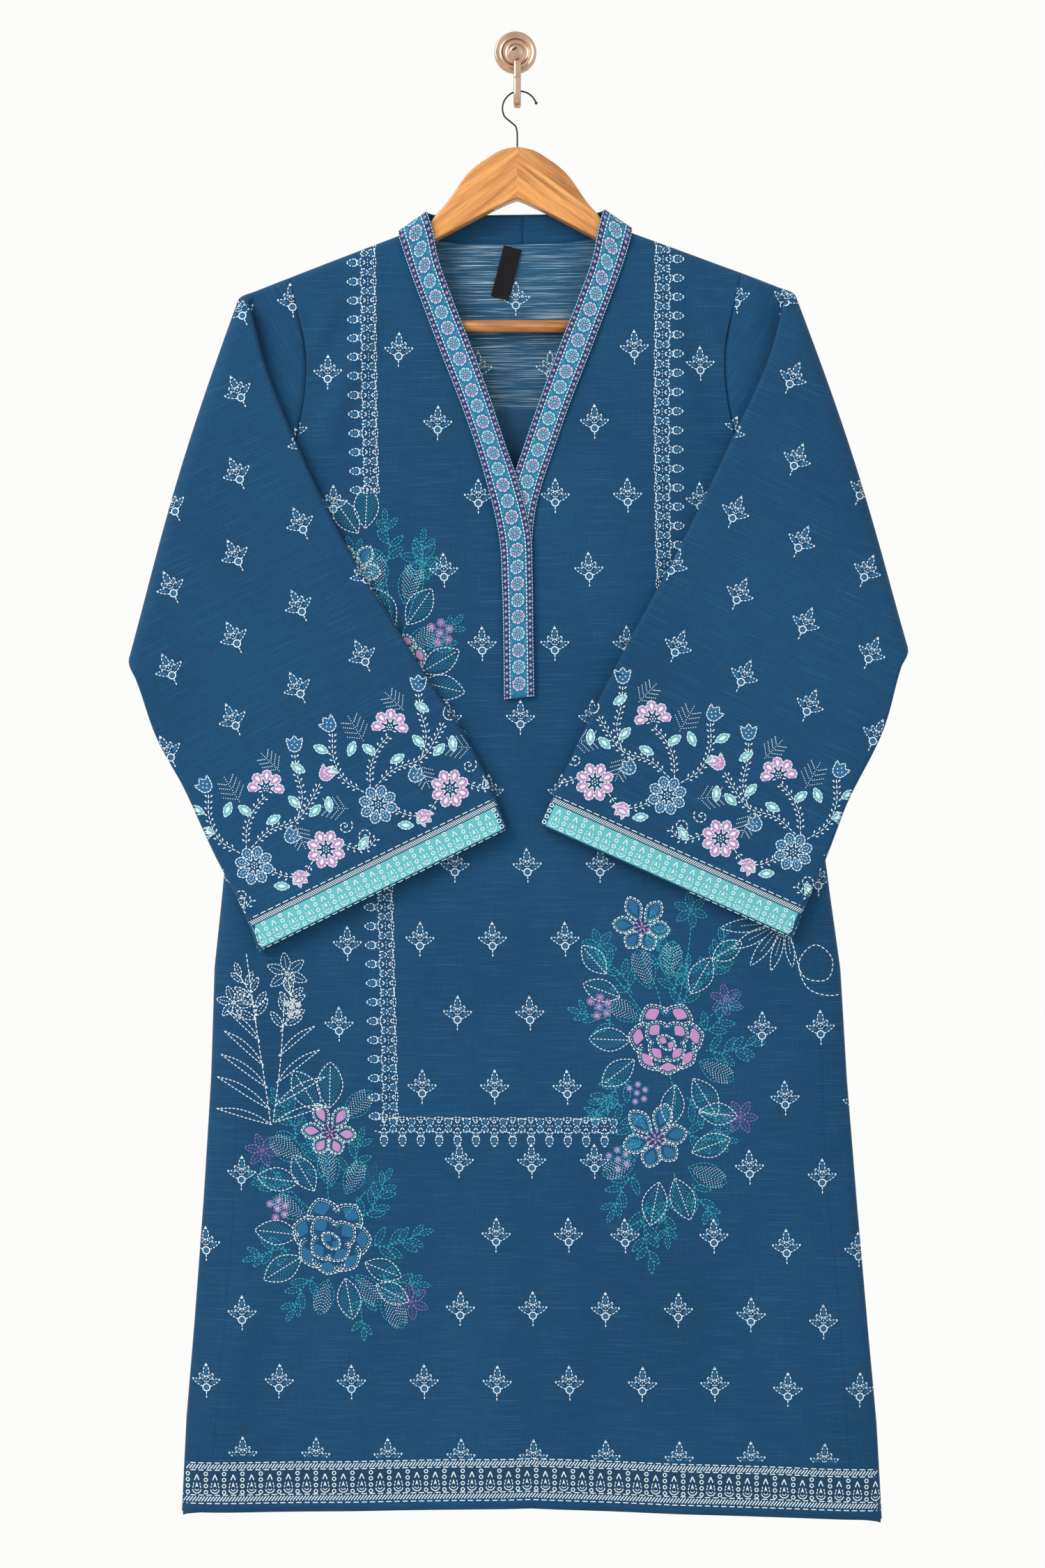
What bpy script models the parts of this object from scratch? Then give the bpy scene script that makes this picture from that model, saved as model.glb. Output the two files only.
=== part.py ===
"""A kameez tunic on a wooden trouser-bar hanger, hung from a hook on the wall.

The origin is the middle of the rosette's back, on the wall. +Z is up, +X is to the right of someone
who faces the wall, and +Y goes into the wall, so the front of the tunic faces -Y.

Sizes are in millimetres, and MM turns them into metres when a mesh is made. The tunic is worked out
flat first, each layer as a sheet over the plane of the hanger, and then takes its depth: the front and
back lie HALF_DEPTH either side of that plane, close at the shoulder seam and the side seams, and the
sleeves fold forward over the front along a slanting roll.
"""

import math

import bmesh
import bpy
import numpy as np
from mathutils import Vector

MM = 0.001

# --- driving dimensions, mm ---
WALL = 1.2  # thickness of the cloth
SEAM_GAP = 0.5  # between the two neck bands at centre back
ARMHOLE_GAP = 0.8  # between a sleeve and the panels that it is sewn to
HANG_Y = -40.0  # plane of the hanger, from the wall
HALF_DEPTH = 8.4  # from that plane to the middle of the cloth, at the hanger
SKIRT_EASE = 2.4  # how much further the cloth stands off the plane in the skirt
SHOULDER_ROLL = 8.0  # height over which the cloth rolls over the shoulder
SIDE_ROLL = 14.0  # width over which front and back close at the side seam
SIDE_LAP = 0.75  # half the distance between the middles of front and back at the side seam
SEAM_LAP = 0.4  # the same at the shoulder seam
SLIT_SPREAD = 2.6  # how far each free edge stands off at the hem of the side slits

SHOULDER_NECK = (88.0, -157.0)  # where the shoulder seam starts, under the neck band
SHOULDER_TIP = (184.0, -193.0)  # where it ends, at the armhole
SLIT_TOP_Z = -703.0
BODY_COLUMNS = 12  # columns of faces in half a panel
COLUMN_GATHER = 1.35  # above 1, the columns are closer towards the side
SKIRT_ROWS = 17

SWAY = 14.0  # the skirt hangs this far to the right
SWAY_FROM_Z = -300.0
SWAY_REACH = 400.0
TILT_TOP = 0.012  # rise of the shoulders to the right, mm for each mm
TILT_HEM = -0.0114  # and of the hem
TILT_TOP_Z = -160.0
LENGTH = 1040.0  # from the top of the shoulder to the hem

# Half outlines, right-hand side, x and z.
ARMHOLE = (
    # x, z
    (184.0, -193.0),
    (178.0, -221.0),
    (171.5, -250.0),
    (171.0, -280.0),
    (177.0, -318.0),
    (192.0, -368.0),
    (211.0, -415.0),
    (228.0, -450.0),
    (237.0, -472.0),
)
FRONT_NECK = (
    # x, z: the panel's edge, 6 mm under the neck band's outer edge, down to where the halves meet
    (88.0, -157.0),
    (76.0, -200.0),
    (62.0, -233.0),
    (48.0, -271.0),
    (32.0, -311.0),
    (15.0, -365.0),
    (7.0, -403.0),
    (0.0, -430.0),
    (0.0, -470.0),
)
SIDE = (
    # z, half the width
    (-472.0, 237.0),
    (-560.0, 238.0),
    (-650.0, 243.0),
    (-703.0, 249.0),
    (-760.0, 256.0),
    (-850.0, 260.0),
    (-950.0, 267.0),
    (-1050.0, 275.0),
    (-1130.0, 282.0),
    (-1207.0, 286.0),
)
HEM_MIDDLE_Z = -1200.0
BACK_HEM_DROP = 5.0
BACK_NECK_TOP = (
    # x, z: top edge of the back panel, under the neck band
    (0.0, -166.0),
    (45.0, -165.0),
    (75.0, -160.5),
    (88.0, -157.0),
    (184.0, -193.0),
)
BACK_NECK_REACH = 70.0  # depth over which the rows of the back lose the shape of the neck
PLACKET_CALM = (
    # depth below the origin, how far from the middle the cloth lies flat
    (157.0, 104.0),
    (330.0, 46.0),
    (420.0, 26.0),
    (540.0, 26.0),
    (600.0, 0.0),
)
CALM_FADE = 22.0  # width over which the folds then rise
BACK_CALM_TO_Z = -215.0  # the back lies flat down to here, under the hanger
BACK_CALM_FADE = 60.0
HALF_DEPTH_TO_Z = -260.0  # the cloth starts to stand further off below this
EASE_REACH = 340.0
FREE_EDGE_REACH = 400.0  # depth below the slit's top over which its edges part
FREE_EDGE_ROLL = 26.0  # how much wider the roll at the side is, once the edge is free
FREE_ROLL_REACH = 200.0

# Distances down the armhole at which rows start; the last ones are counted from the underarm.
ROLL_STEPS = (0.0, 1.2, 4.2, 8.0)
ARMHOLE_ROWS = 9
UNDERARM_STEPS = (14.0, 8.0, 3.0)

FOLD_FADE = 0.35  # share of a fold's length over which it rises
FOLD_OPEN_END = 0.25  # height that it keeps at its lower end, as a share
# Soft folds: a ridge from (x0, z0) to (x1, z1), mm wide and mm high.
FRONT_FOLDS = (
    # x0, z0, x1, z1, width, height
    (-104.0, -196.0, -160.0, -340.0, 11.0, 4.2),
    (-140.0, -206.0, -170.0, -262.0, 8.0, 2.4),
    (116.0, -192.0, 152.0, -330.0, 12.0, 3.6),
    (142.0, -198.0, 168.0, -252.0, 9.0, 2.4),
    (190.0, -985.0, 256.0, -1165.0, 20.0, 5.5),
    (-205.0, -990.0, -252.0, -1160.0, 18.0, 4.0),
    (-118.0, -780.0, -142.0, -1230.0, 30.0, 2.6),
    (-18.0, -820.0, -6.0, -1230.0, 34.0, 2.0),
    (98.0, -790.0, 128.0, -1230.0, 30.0, 2.8),
    (60.0, -430.0, 44.0, -700.0, 26.0, 1.6),
)
BACK_FOLDS = (
    (-110.0, -240.0, -150.0, -420.0, 15.0, 3.0),
    (112.0, -240.0, 156.0, -430.0, 15.0, 3.2),
    (-175.0, -760.0, -215.0, -1230.0, 24.0, 4.5),
    (-60.0, -700.0, -78.0, -1230.0, 28.0, 3.4),
    (52.0, -720.0, 70.0, -1230.0, 30.0, 3.0),
    (168.0, -780.0, 214.0, -1230.0, 24.0, 4.5),
)

# Sleeves: flat tubes, set into the armholes and folded forward. World x and z of the two edges.
SLEEVE_GAP = 1.2  # between a folded sleeve and the front
SLEEVE_HALF = 4.4  # half the thickness of the flattened tube, once folded
SLEEVE_END_ROLL = 5.0  # width over which it rounds at its two edges
CAP_FLATTENS_FROM = 0.35  # share of the cap over which the tube keeps the armhole's thickness
CAP_TOP_ROLL_LOSS = 2.0  # how much narrower the roll at its top edge is at the end of the cap
CAP_UNDER_ROLL_LOSS = 8.0  # the same at its underarm edge
FOLD_SLIDE_MOST = 1.3  # an edge slides at most this far along the roll for each mm around it
CAP_RINGS = 3
ROLL_RINGS = 5
FOREARM_RINGS = 7
SLEEVES = {
    # top: start of the roll at the sleeve's top edge; under: at its underarm edge
    # top_edge and under_edge: the same edges after the roll, down to the cuff
    "left": {
        "top": (-210.4, -205.3),
        "under": (-297.4, -503.4),
        "roll_axis": (-91.0, -300.0),
        "top_edge": ((-204.0, -268.3), (-174.6, -340.7), (-146.8, -399.0), (-83.0, -505.0),
                     (-19.6, -612.2), (-7.1, -646.2)),
        "under_edge": ((-294.5, -563.6), (-267.9, -615.0), (-246.4, -662.0), (-217.6, -719.7),
                       (-208.5, -745.2)),
    },
    "right": {
        "top": (213.0, -202.0),
        "under": (303.0, -496.0),
        "roll_axis": (92.0, -296.0),
        "top_edge": ((208.4, -258.0), (176.2, -330.0), (141.7, -401.8), (76.0, -525.7),
                     (29.1, -624.1), (20.6, -642.8)),
        "under_edge": ((303.5, -550.6), (267.8, -629.2), (252.5, -669.4), (235.0, -710.1),
                       (224.8, -734.4)),
    },
}

# Neck bands: strips between an inner and an outer edge. A row with no y lies on the front.
BAND_LIFT = 1.9  # from the middle of the panel to the middle of the band
PLACKET_LIFT = 1.5  # the left band lies on the right one below the V
PLACKET_FROM_Z = -322.0
PLACKET_FULL_Z = -350.0
BAND_STEPS = 3  # stations for each row of the tables below
BAND_COLUMNS = 3
BAND_BACK_Y = HANG_Y + HALF_DEPTH + BAND_LIFT
BAND_OVER_SHOULDER = (
    # inner x, y, z, outer x, y, z: half the neck, from centre back over the shoulder
    (0.2, BAND_BACK_Y, -141.0, 0.2, BAND_BACK_Y, -169.5),
    (36.0, BAND_BACK_Y, -141.0, 40.0, BAND_BACK_Y, -169.5),
    (56.0, BAND_BACK_Y, -140.9, 67.0, BAND_BACK_Y + 0.3, -168.5),
    (66.5, -31.5, -140.7, 86.0, BAND_BACK_Y + 0.5, -167.0),
    (71.5, -37.0, -140.3, 94.0, -32.5, -158.5),
    (72.5, -43.5, -140.5, 95.5, -45.0, -156.8),
    (71.0, -49.3, -144.5, 94.5, -50.6, -164.0),
)
BAND_FRONT = (
    # inner x, z, outer x, z: down to the V
    (67.5, -157.0, 91.0, -176.0),
    (63.5, -178.0, 84.5, -195.0),
    (51.0, -214.0, 74.0, -223.0),
    (38.0, -247.0, 61.5, -256.0),
    (22.0, -290.0, 45.0, -298.0),
)
BAND_ENDS = {
    "left": (
        # world x and z from the V down the placket, inner edge and outer edge
        (-6.5, -337.0, -30.0, -341.0),
        (0.5, -357.0, -23.8, -363.0),
        (7.0, -379.0, -17.2, -388.0),
        (12.5, -403.0, -12.9, -411.0),
        (14.2, -440.0, -10.9, -446.0),
        (14.8, -490.0, -9.8, -492.0),
        (15.5, -538.0, -9.2, -540.5),
    ),
    "right": (
        (6.5, -335.0, 30.0, -341.0),
        (-0.5, -356.0, 22.5, -363.0),
        (-6.0, -376.0, 17.0, -384.0),
        (-9.0, -400.0, 14.2, -406.0),
        (-9.2, -440.0, 13.4, -442.0),
        (-8.6, -490.0, 13.8, -490.0),
        (-8.0, -535.0, 14.6, -535.0),
    ),
}

LABEL_SIZE = (14.9, 1.0, 43.0)
LABEL_CENTRE = (-7.5, -33.3, -189.5)
LABEL_TILT = math.radians(14.5)

# Hanger, in its own frame: x from the joint of its two arms, z from the origin's height.
HANGER_CENTRE_X = 1.5
HANGER_THICK = 14.0
HANGER_BEVEL = 2.0
HANGER_TOP = (
    # x, z
    (0.0, -88.4), (14.0, -91.7), (25.0, -98.3), (33.5, -104.2), (41.0, -111.2), (47.5, -119.6),
    (52.5, -127.2), (59.5, -136.6), (65.0, -142.6), (70.5, -149.6), (80.0, -161.0), (90.0, -168.0),
    (102.0, -171.5), (120.0, -177.0), (179.0, -197.8), (189.0, -202.2), (194.5, -208.5),
)
HANGER_BOTTOM = (
    # x, z
    (195.5, -219.0), (194.0, -232.0), (188.0, -240.5), (179.0, -243.5), (168.0, -237.5),
    (146.0, -216.0), (108.0, -189.5), (68.2, -165.4), (43.4, -152.0), (21.2, -140.4), (0.0, -130.6),
)
HANGER_STEPS = 2  # points of the finer outline for each point of these
BAR_RADIUS = 5.0
BAR_Z = -234.4
BAR_HALF = 179.6
SOCKET_RADIUS = 5.3
SOCKET_START = 140.0
SOCKET_END = 180.0
SPLIT_GAP = 0.3  # between the two arms
HALF_SPACE = (260.0, 30.0, (-280.0, -60.0))  # reach in x, in y and in z of a box round one arm

WIRE_RADIUS = 1.1
WIRE_LOOP_CENTRE = (3.6, -56.0)
WIRE_LOOP_RADIUS = 14.1
WIRE_LOOP_FROM = 24.0  # degrees, at the ball
WIRE_LOOP_TO = 205.0
WIRE_LOOP_STEP = 11.0
WIRE_POINTS = 44
WIRE_STEM = ((-3.6, -67.2), (0.2, -70.6), (1.4, -75.0), (1.6, -81.0), (1.6, -88.0))
BALL_RADIUS = 2.1
BALL_GAP = 0.3  # from the wire's end to the ball

ROSETTE_PROFILE = (
    # radius, height off the wall
    (0.0, 3.2), (6.0, 3.2), (9.0, 2.6), (12.0, 3.0), (13.6, 4.4), (14.8, 5.4), (16.0, 5.2),
    (17.0, 4.0), (17.5, 2.2), (17.5, 0.0), (0.0, 0.0),
)
POST_PROFILE = (
    # radius, distance along the post
    (0.0, 29.0), (5.2, 29.0), (5.8, 28.6), (6.0, 27.9), (6.0, 20.0), (5.6, 18.6), (4.6, 17.6),
    (4.2, 16.0), (4.2, 2.0), (5.2, 0.0), (0.0, 0.0),
)
POST_BASE = (-0.8, -5.2, 0.0)
POST_END = (0.9, -34.0, -8.9)
J_CENTRE_X = 1.6
J_WIDTH = 6.0
J_BEVEL = 1.8
J_BACK_Y = -28.7
J_ROD_FRONT_Y = -35.0
J_TIP_BACK_Y = -44.0
J_TIP_FRONT_Y = -50.0
J_TOP_Z = -14.5
J_TIP_Z = -34.6
J_TROUGH_Z = -44.3
J_BOTTOM_Z = -55.5
ROUND_STEPS = 24


def clear_scene():
    for obj in list(bpy.data.objects):
        bpy.data.objects.remove(obj, do_unlink=True)


def new_collection(name, parent):
    collection = bpy.data.collections.new(name)
    parent.children.link(collection)
    return collection


def material(name, colour, roughness, metallic=0.0):
    made = bpy.data.materials.new(name)
    made.use_nodes = True
    shader = made.node_tree.nodes["Principled BSDF"]
    shader.inputs["Base Color"].default_value = (*colour, 1.0)
    shader.inputs["Roughness"].default_value = roughness
    shader.inputs["Metallic"].default_value = metallic
    return made


def add_object(name, mesh, finish, collection):
    obj = bpy.data.objects.new(name, mesh)
    collection.objects.link(obj)
    if finish is not None:
        mesh.materials.append(finish)
    return obj


def mesh_from(name, points, faces):
    """A mesh from points in mm, with its doubled points merged."""
    mesh = bpy.data.meshes.new(name)
    mesh.from_pydata((np.asarray(points, float) * MM).tolist(), [], faces)
    work = bmesh.new()
    work.from_mesh(mesh)
    bmesh.ops.remove_doubles(work, verts=work.verts, dist=0.02 * MM)
    work.to_mesh(mesh)
    work.free()
    mesh.shade_smooth()
    return mesh


def smooth_path(points, where):
    """Points of a smooth curve through the given ones, at fractions of its length by chords."""
    points = np.asarray(points, float)
    chords = np.linalg.norm(np.diff(points, axis=0), axis=1)
    at = np.concatenate([[0.0], np.cumsum(chords)])
    slopes = np.gradient(points, at, axis=0)
    where = np.clip(np.asarray(where, float), 0.0, 1.0) * at[-1]
    index = np.clip(np.searchsorted(at, where, side="right") - 1, 0, len(points) - 2)
    step = (at[index + 1] - at[index])[:, None]
    t = ((where - at[index])[:, None]) / step
    return (
        points[index] * (2 * t**3 - 3 * t**2 + 1)
        + slopes[index] * step * (t**3 - 2 * t**2 + t)
        + points[index + 1] * (3 * t**2 - 2 * t**3)
        + slopes[index + 1] * step * (t**3 - t**2)
    )


def smooth_rows(points, steps):
    """Points of the same smooth curve, with the same number of steps between any two rows."""
    chords = np.linalg.norm(np.diff(np.asarray(points, float), axis=0), axis=1)
    at = np.concatenate([[0.0], np.cumsum(chords)]) / chords.sum()
    rows = np.linspace(0, len(points) - 1, (len(points) - 1) * steps + 1)
    return smooth_path(points, np.interp(rows, np.arange(len(points)), at))


def path_length(points):
    return float(np.linalg.norm(np.diff(np.asarray(points, float), axis=0), axis=1).sum())


def ease(value):
    """0 to 1 with level ends."""
    value = np.clip(value, 0.0, 1.0)
    return value * value * (3 - 2 * value)


def roll(distance, reach):
    """Quarter ellipse: 0 at a closing edge, 1 once the cloth is flat."""
    inward = 1 - np.clip(np.asarray(distance, float) / reach, 0.0, 1.0)
    return np.sqrt(np.maximum(0.0, 1 - inward * inward))


def hang(x, z):
    """The whole tunic hangs slightly askew: the skirt sways right, the shoulders and hem tilt."""
    below = np.maximum(0.0, SWAY_FROM_Z - z)
    sway = SWAY * (1 - np.exp(-((below / SWAY_REACH) ** 1.5)))
    down = np.clip((TILT_TOP_Z - z) / LENGTH, 0.0, 1.0)
    tilt = TILT_TOP + (TILT_HEM - TILT_TOP) * down
    return x + sway, z + x * tilt


def shoulder_line(x):
    run = (np.abs(x) - SHOULDER_NECK[0]) / (SHOULDER_TIP[0] - SHOULDER_NECK[0])
    return SHOULDER_NECK[1] + run * (SHOULDER_TIP[1] - SHOULDER_NECK[1])


def half_width(z):
    table = np.array(SIDE)[::-1]
    return np.interp(z, table[:, 0], table[:, 1])


def stand_off(z):
    """From the hanger's plane to the middle of the cloth, where nothing closes it."""
    return HALF_DEPTH + SKIRT_EASE * ease((HALF_DEPTH_TO_Z - z) / EASE_REACH)


def fold_height(folds, x, z):
    """Sum of soft ridges, each a bell across its line that fades at its two ends."""
    height = np.zeros(np.broadcast(x, z).shape)
    for x0, z0, x1, z1, width, most in folds:
        run = np.hypot(x1 - x0, z1 - z0)
        along = ((x - x0) * (x1 - x0) + (z - z0) * (z1 - z0)) / run
        across = ((x - x0) * (z1 - z0) - (z - z0) * (x1 - x0)) / run
        fade = FOLD_FADE * run
        ends = ease(along / fade) * ease((run - along) / fade + FOLD_OPEN_END)
        height = height + most * ends * np.exp(-((across / width) ** 2))
    return height


def placket_calm(x, z):
    """0 beside the placket and the neck, where the cloth lies flat, and 1 away from it."""
    down, reach = np.array(PLACKET_CALM).T
    return ease((np.abs(x) - np.interp(-z, down, reach)) / CALM_FADE)


def closing(x, z):
    """0 to 1: how open the space between front and back is at a place of the flat pattern."""
    over_shoulder = roll(shoulder_line(x) - z, SHOULDER_ROLL)
    underarm_x, underarm_z = ARMHOLE[-1]
    above = np.hypot(underarm_x - np.abs(x), np.maximum(0.0, z - underarm_z))
    beside = np.where(z > underarm_z, above, half_width(z) - np.abs(x))
    reach = SIDE_ROLL + FREE_EDGE_ROLL * ease((SLIT_TOP_Z - z) / FREE_ROLL_REACH)
    return over_shoulder, roll(beside, reach)


def panel_y(x, z, forward):
    """Depth of the middle of the front (forward) or back cloth at a place of the flat pattern."""
    over_shoulder, beside = closing(x, z)
    free_edge = SLIT_SPREAD * ease((SLIT_TOP_Z - z) / FREE_EDGE_REACH)
    lap = np.where(z > ARMHOLE[-1][1] + SIDE_ROLL, SEAM_LAP, SIDE_LAP + free_edge)
    apart = lap + (stand_off(z) - lap) * over_shoulder * beside
    hung_x, hung_z = hang(x, z)
    folds = fold_height(FRONT_FOLDS if forward else BACK_FOLDS, hung_x, hung_z)
    calm = placket_calm(x, z) if forward else ease((BACK_CALM_TO_Z - z) / BACK_CALM_FADE)
    apart = apart + folds * calm * over_shoulder * beside
    return HANG_Y - apart if forward else HANG_Y + apart


def open_front_y(x, z):
    """Depth of the front cloth in the world, as if it never closed at the sides."""
    calm = placket_calm(x, z)
    return HANG_Y - stand_off(z) - fold_height(FRONT_FOLDS, x, z) * calm


def armhole_fractions():
    """Where rows of the panels and points of the sleeve rings lie along the armhole, 0 to 1."""
    length = path_length(ARMHOLE)
    middle = np.linspace(ROLL_STEPS[-1], length - UNDERARM_STEPS[0], ARMHOLE_ROWS + 1)[1:-1]
    steps = [*ROLL_STEPS, *middle, *(length - np.array(UNDERARM_STEPS)), length]
    return np.array(steps) / length


def panel_grid(forward):
    """Rows of points of the right half of a panel in the flat pattern, from neck to side."""
    fractions = armhole_fractions()
    outer = smooth_path(ARMHOLE, fractions)
    if forward:
        inner = smooth_path(FRONT_NECK, fractions)
        hem_z = (HEM_MIDDLE_Z, SIDE[-1][0])
    else:
        reach = (BACK_NECK_TOP[0][1], ARMHOLE[-1][1])
        inner = np.stack([0 * fractions, reach[0] + (reach[1] - reach[0]) * fractions], axis=1)
        hem_z = (HEM_MIDDLE_Z - BACK_HEM_DROP, SIDE[-1][0] - BACK_HEM_DROP)
    down = np.linspace(0, 1, SKIRT_ROWS + 1)[1:]
    side_z = ARMHOLE[-1][1] + (hem_z[1] - ARMHOLE[-1][1]) * down
    middle_z = inner[-1, 1] + (hem_z[0] - inner[-1, 1]) * down
    outer = np.concatenate([outer, np.stack([half_width(side_z), side_z], axis=1)])
    inner = np.concatenate([inner, np.stack([0 * down, middle_z], axis=1)])
    # Columns gather towards the side, where the cloth rolls over.
    across = (1 - (1 - np.linspace(0, 1, BODY_COLUMNS + 1)) ** COLUMN_GATHER)[None, :, None]
    grid = inner[:, None, :] * (1 - across) + outer[:, None, :] * across
    if not forward:
        top = np.array(BACK_NECK_TOP)
        straight = grid[0, :, 1].copy()
        rise = np.interp(grid[0, :, 0], top[:, 0], top[:, 1]) - straight
        fade = 1 - ease((grid[0, :, 1][None, :] - grid[:, :, 1]) / BACK_NECK_REACH)
        grid[:, :, 1] += rise[None, :] * fade
    return grid


def grid_faces(rows, columns, start=0):
    """Quads over a grid of points, row by row."""
    faces = []
    for row in range(rows - 1):
        for column in range(columns - 1):
            corner = start + row * columns + column
            faces.append((corner, corner + 1, corner + columns + 1, corner + columns))
    return faces


def make_panel(name, forward, finish, collection):
    """One panel of cloth: two half grids that share the middle below the V."""
    points, faces = [], []
    for side in (1, -1):
        flat = panel_grid(forward)
        x, z = side * flat[:, :, 0], flat[:, :, 1]
        hung_x, hung_z = hang(x, z)
        solid = np.stack([hung_x, panel_y(x, z, forward), hung_z], axis=2)
        rows, columns = x.shape
        quads = grid_faces(rows, columns, len(points))
        # Each half is wound so that its faces look away from the other panel.
        if (side > 0) != forward:
            quads = [quad[::-1] for quad in quads]
        points.extend(solid.reshape(-1, 3).tolist())
        faces.extend(quads)
    obj = add_object(name, mesh_from(name, points, faces), finish, collection)
    thicken(obj, WALL)
    return obj


def thicken(obj, wall):
    solidify = obj.modifiers.new("cloth wall", "SOLIDIFY")
    solidify.thickness = wall * MM
    solidify.offset = 0.0
    solidify.use_even_offset = True


def ring_section(distances, length, half, top_roll, under_roll, spread):
    """Flattened section of a sleeve: how far each point lies along it and off its middle."""
    shifted = np.where(distances >= length, length + spread, distances)
    shifted = np.where(distances <= 0, -spread, shifted)
    from_top = roll(shifted + spread, top_roll + spread)
    from_under = roll(length + spread - shifted, under_roll + spread)
    return shifted, (half + spread) * from_top * from_under


def sleeve_rings(side):
    """Middle line of each ring, the half thickness there and the way that its front faces."""
    sign = 1 if side == "right" else -1
    sizes = SLEEVES[side]
    fractions = armhole_fractions()
    armhole = smooth_path(ARMHOLE, fractions)
    hung = np.stack(hang(sign * armhole[:, 0], armhole[:, 1]), axis=1)
    hung[:, 0] += sign * ARMHOLE_GAP
    along = np.array(sizes["roll_axis"]) / np.hypot(*sizes["roll_axis"])
    outward = np.array([sign * abs(along[1]), abs(along[0])])
    top, under = np.array(sizes["top"]), np.array(sizes["under"])
    rings = []
    for step in range(CAP_RINGS):
        share = step / CAP_RINGS
        straight = top + (under - top) * fractions[:, None]
        flat = hung * (1 - share) + straight * share
        flatter = ease((share - CAP_FLATTENS_FROM) / (1 - CAP_FLATTENS_FROM))
        half = HALF_DEPTH + (SLEEVE_HALF - HALF_DEPTH) * flatter
        rolls = (SHOULDER_ROLL - CAP_TOP_ROLL_LOSS * share, SIDE_ROLL - CAP_UNDER_ROLL_LOSS * share)
        rings.append((flat, np.full(len(flat), HANG_Y), half, rolls, (0.0, -1.0)))
    # Around the roll the edges also slide down along its axis, as a slanting fold makes them.
    top_turn, under_turn = edge_slides(sizes, hung, along, outward)
    for step in range(ROLL_RINGS + 1):
        turn = math.pi * step / ROLL_RINGS
        a = top + along * top_turn * turn / math.pi
        b = under + along * under_turn * turn / math.pi
        flat = a + (b - a) * fractions[:, None]
        front = open_front_y(flat[:, 0], flat[:, 1]) - WALL - SLEEVE_GAP - SLEEVE_HALF
        radius = (HANG_Y - front) / 2
        depth = HANG_Y - radius * (1 - math.cos(turn))
        flat = flat + outward * (radius * math.sin(turn))[:, None]
        facing = (math.sin(turn), -math.cos(turn))
        rolls = (SLEEVE_END_ROLL, SLEEVE_END_ROLL)
        rings.append((flat, depth, SLEEVE_HALF, rolls, facing))
    top_end = top + along * top_turn
    under_end = under + along * under_turn
    places = np.linspace(0, 1, FOREARM_RINGS + 1)[1:]
    top_edge = smooth_path([top_end, *sizes["top_edge"]], places)
    under_edge = smooth_path([under_end, *sizes["under_edge"]], places)
    for a, b in zip(top_edge, under_edge):
        flat = a + (b - a) * fractions[:, None]
        front = open_front_y(flat[:, 0], flat[:, 1]) - WALL - SLEEVE_GAP - SLEEVE_HALF
        rings.append((flat, front, SLEEVE_HALF, (SLEEVE_END_ROLL, SLEEVE_END_ROLL), (0.0, 1.0)))
    return rings, outward


def edge_slides(sizes, hung, along, outward):
    """How far each edge of the sleeve slides along the roll while it goes around it."""
    slides = []
    for start, end in ((hung[0], sizes["top"]), (hung[-1], sizes["under"])):
        way = np.array(end) - start
        reach = math.pi * (SLEEVE_HALF + WALL + SLEEVE_GAP + HALF_DEPTH) / 2
        slope = way @ along / max(way @ outward, 1.0)
        slides.append(float(np.clip(slope, 0.0, FOLD_SLIDE_MOST)) * reach)
    return slides


def make_sleeve(side, finish, collection):
    """A sleeve: rings of an outer and an inner loop, joined at the armhole and at the cuff."""
    rings, outward = sleeve_rings(side)
    fractions = armhole_fractions()
    count = 2 * len(fractions) - 2
    points = []
    for flat, depth, half, rolls, facing in rings:
        way = flat[-1] - flat[0]
        length = float(np.hypot(*way))
        way = way / length
        for spread in (WALL / 2, -WALL / 2):
            shifted, off = ring_section(fractions * length, length, half, *rolls, spread)
            slide = (shifted - fractions * length)[:, None] * way
            for face, order in ((1, range(len(flat))), (-1, range(len(flat) - 2, 0, -1))):
                for i in order:
                    # facing holds the outward share and the depth share of the front layer.
                    x, z = flat[i] + slide[i] - face * off[i] * facing[0] * outward
                    y = depth[i] + face * off[i] * facing[1]
                    points.append((x, y, z))
    faces = []
    rows = len(rings)
    for row in range(rows - 1):
        for layer in (0, 1):
            for i in range(count):
                j = (i + 1) % count
                a = (2 * row + layer) * count
                b = (2 * row + 2 + layer) * count
                quad = (a + i, a + j, b + j, b + i)
                faces.append(quad if layer == 0 else quad[::-1])
    for row in (0, rows - 1):
        for i in range(count):
            j = (i + 1) % count
            a, b = 2 * row * count, (2 * row + 1) * count
            quad = (a + i, b + i, b + j, a + j)
            faces.append(quad if row == 0 else quad[::-1])
    if side == "left":
        faces = [face[::-1] for face in faces]
    name = f"sleeve_{side}"
    return add_object(name, mesh_from(name, points, faces), finish, collection)


def band_rows(side):
    """The two edges of a neck band, from centre back to the foot of the placket."""
    sign = 1 if side == "right" else -1
    inner, outer = [], []
    for ix, iy, iz, ox, oy, oz in BAND_OVER_SHOULDER:
        for edge, x, y, z in ((inner, ix, iy, iz), (outer, ox, oy, oz)):
            hung_x, hung_z = hang(sign * x, z)
            edge.append((float(hung_x), y, float(hung_z)))
    front = [(sign * ix, iz, sign * ox, oz) for ix, iz, ox, oz in BAND_FRONT]
    for ix, iz, ox, oz in [*front, *BAND_ENDS[side]]:
        for edge, x, z in ((inner, ix, iz), (outer, ox, oz)):
            edge.append((x, band_y(side, x, z), z))
    return smooth_rows(inner, BAND_STEPS), smooth_rows(outer, BAND_STEPS)


def band_y(side, x, z):
    lift = BAND_LIFT
    if side == "left":
        lift += PLACKET_LIFT * float(ease((PLACKET_FROM_Z - z) / (PLACKET_FROM_Z - PLACKET_FULL_Z)))
    return float(HANG_Y - stand_off(z)) - lift


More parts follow.
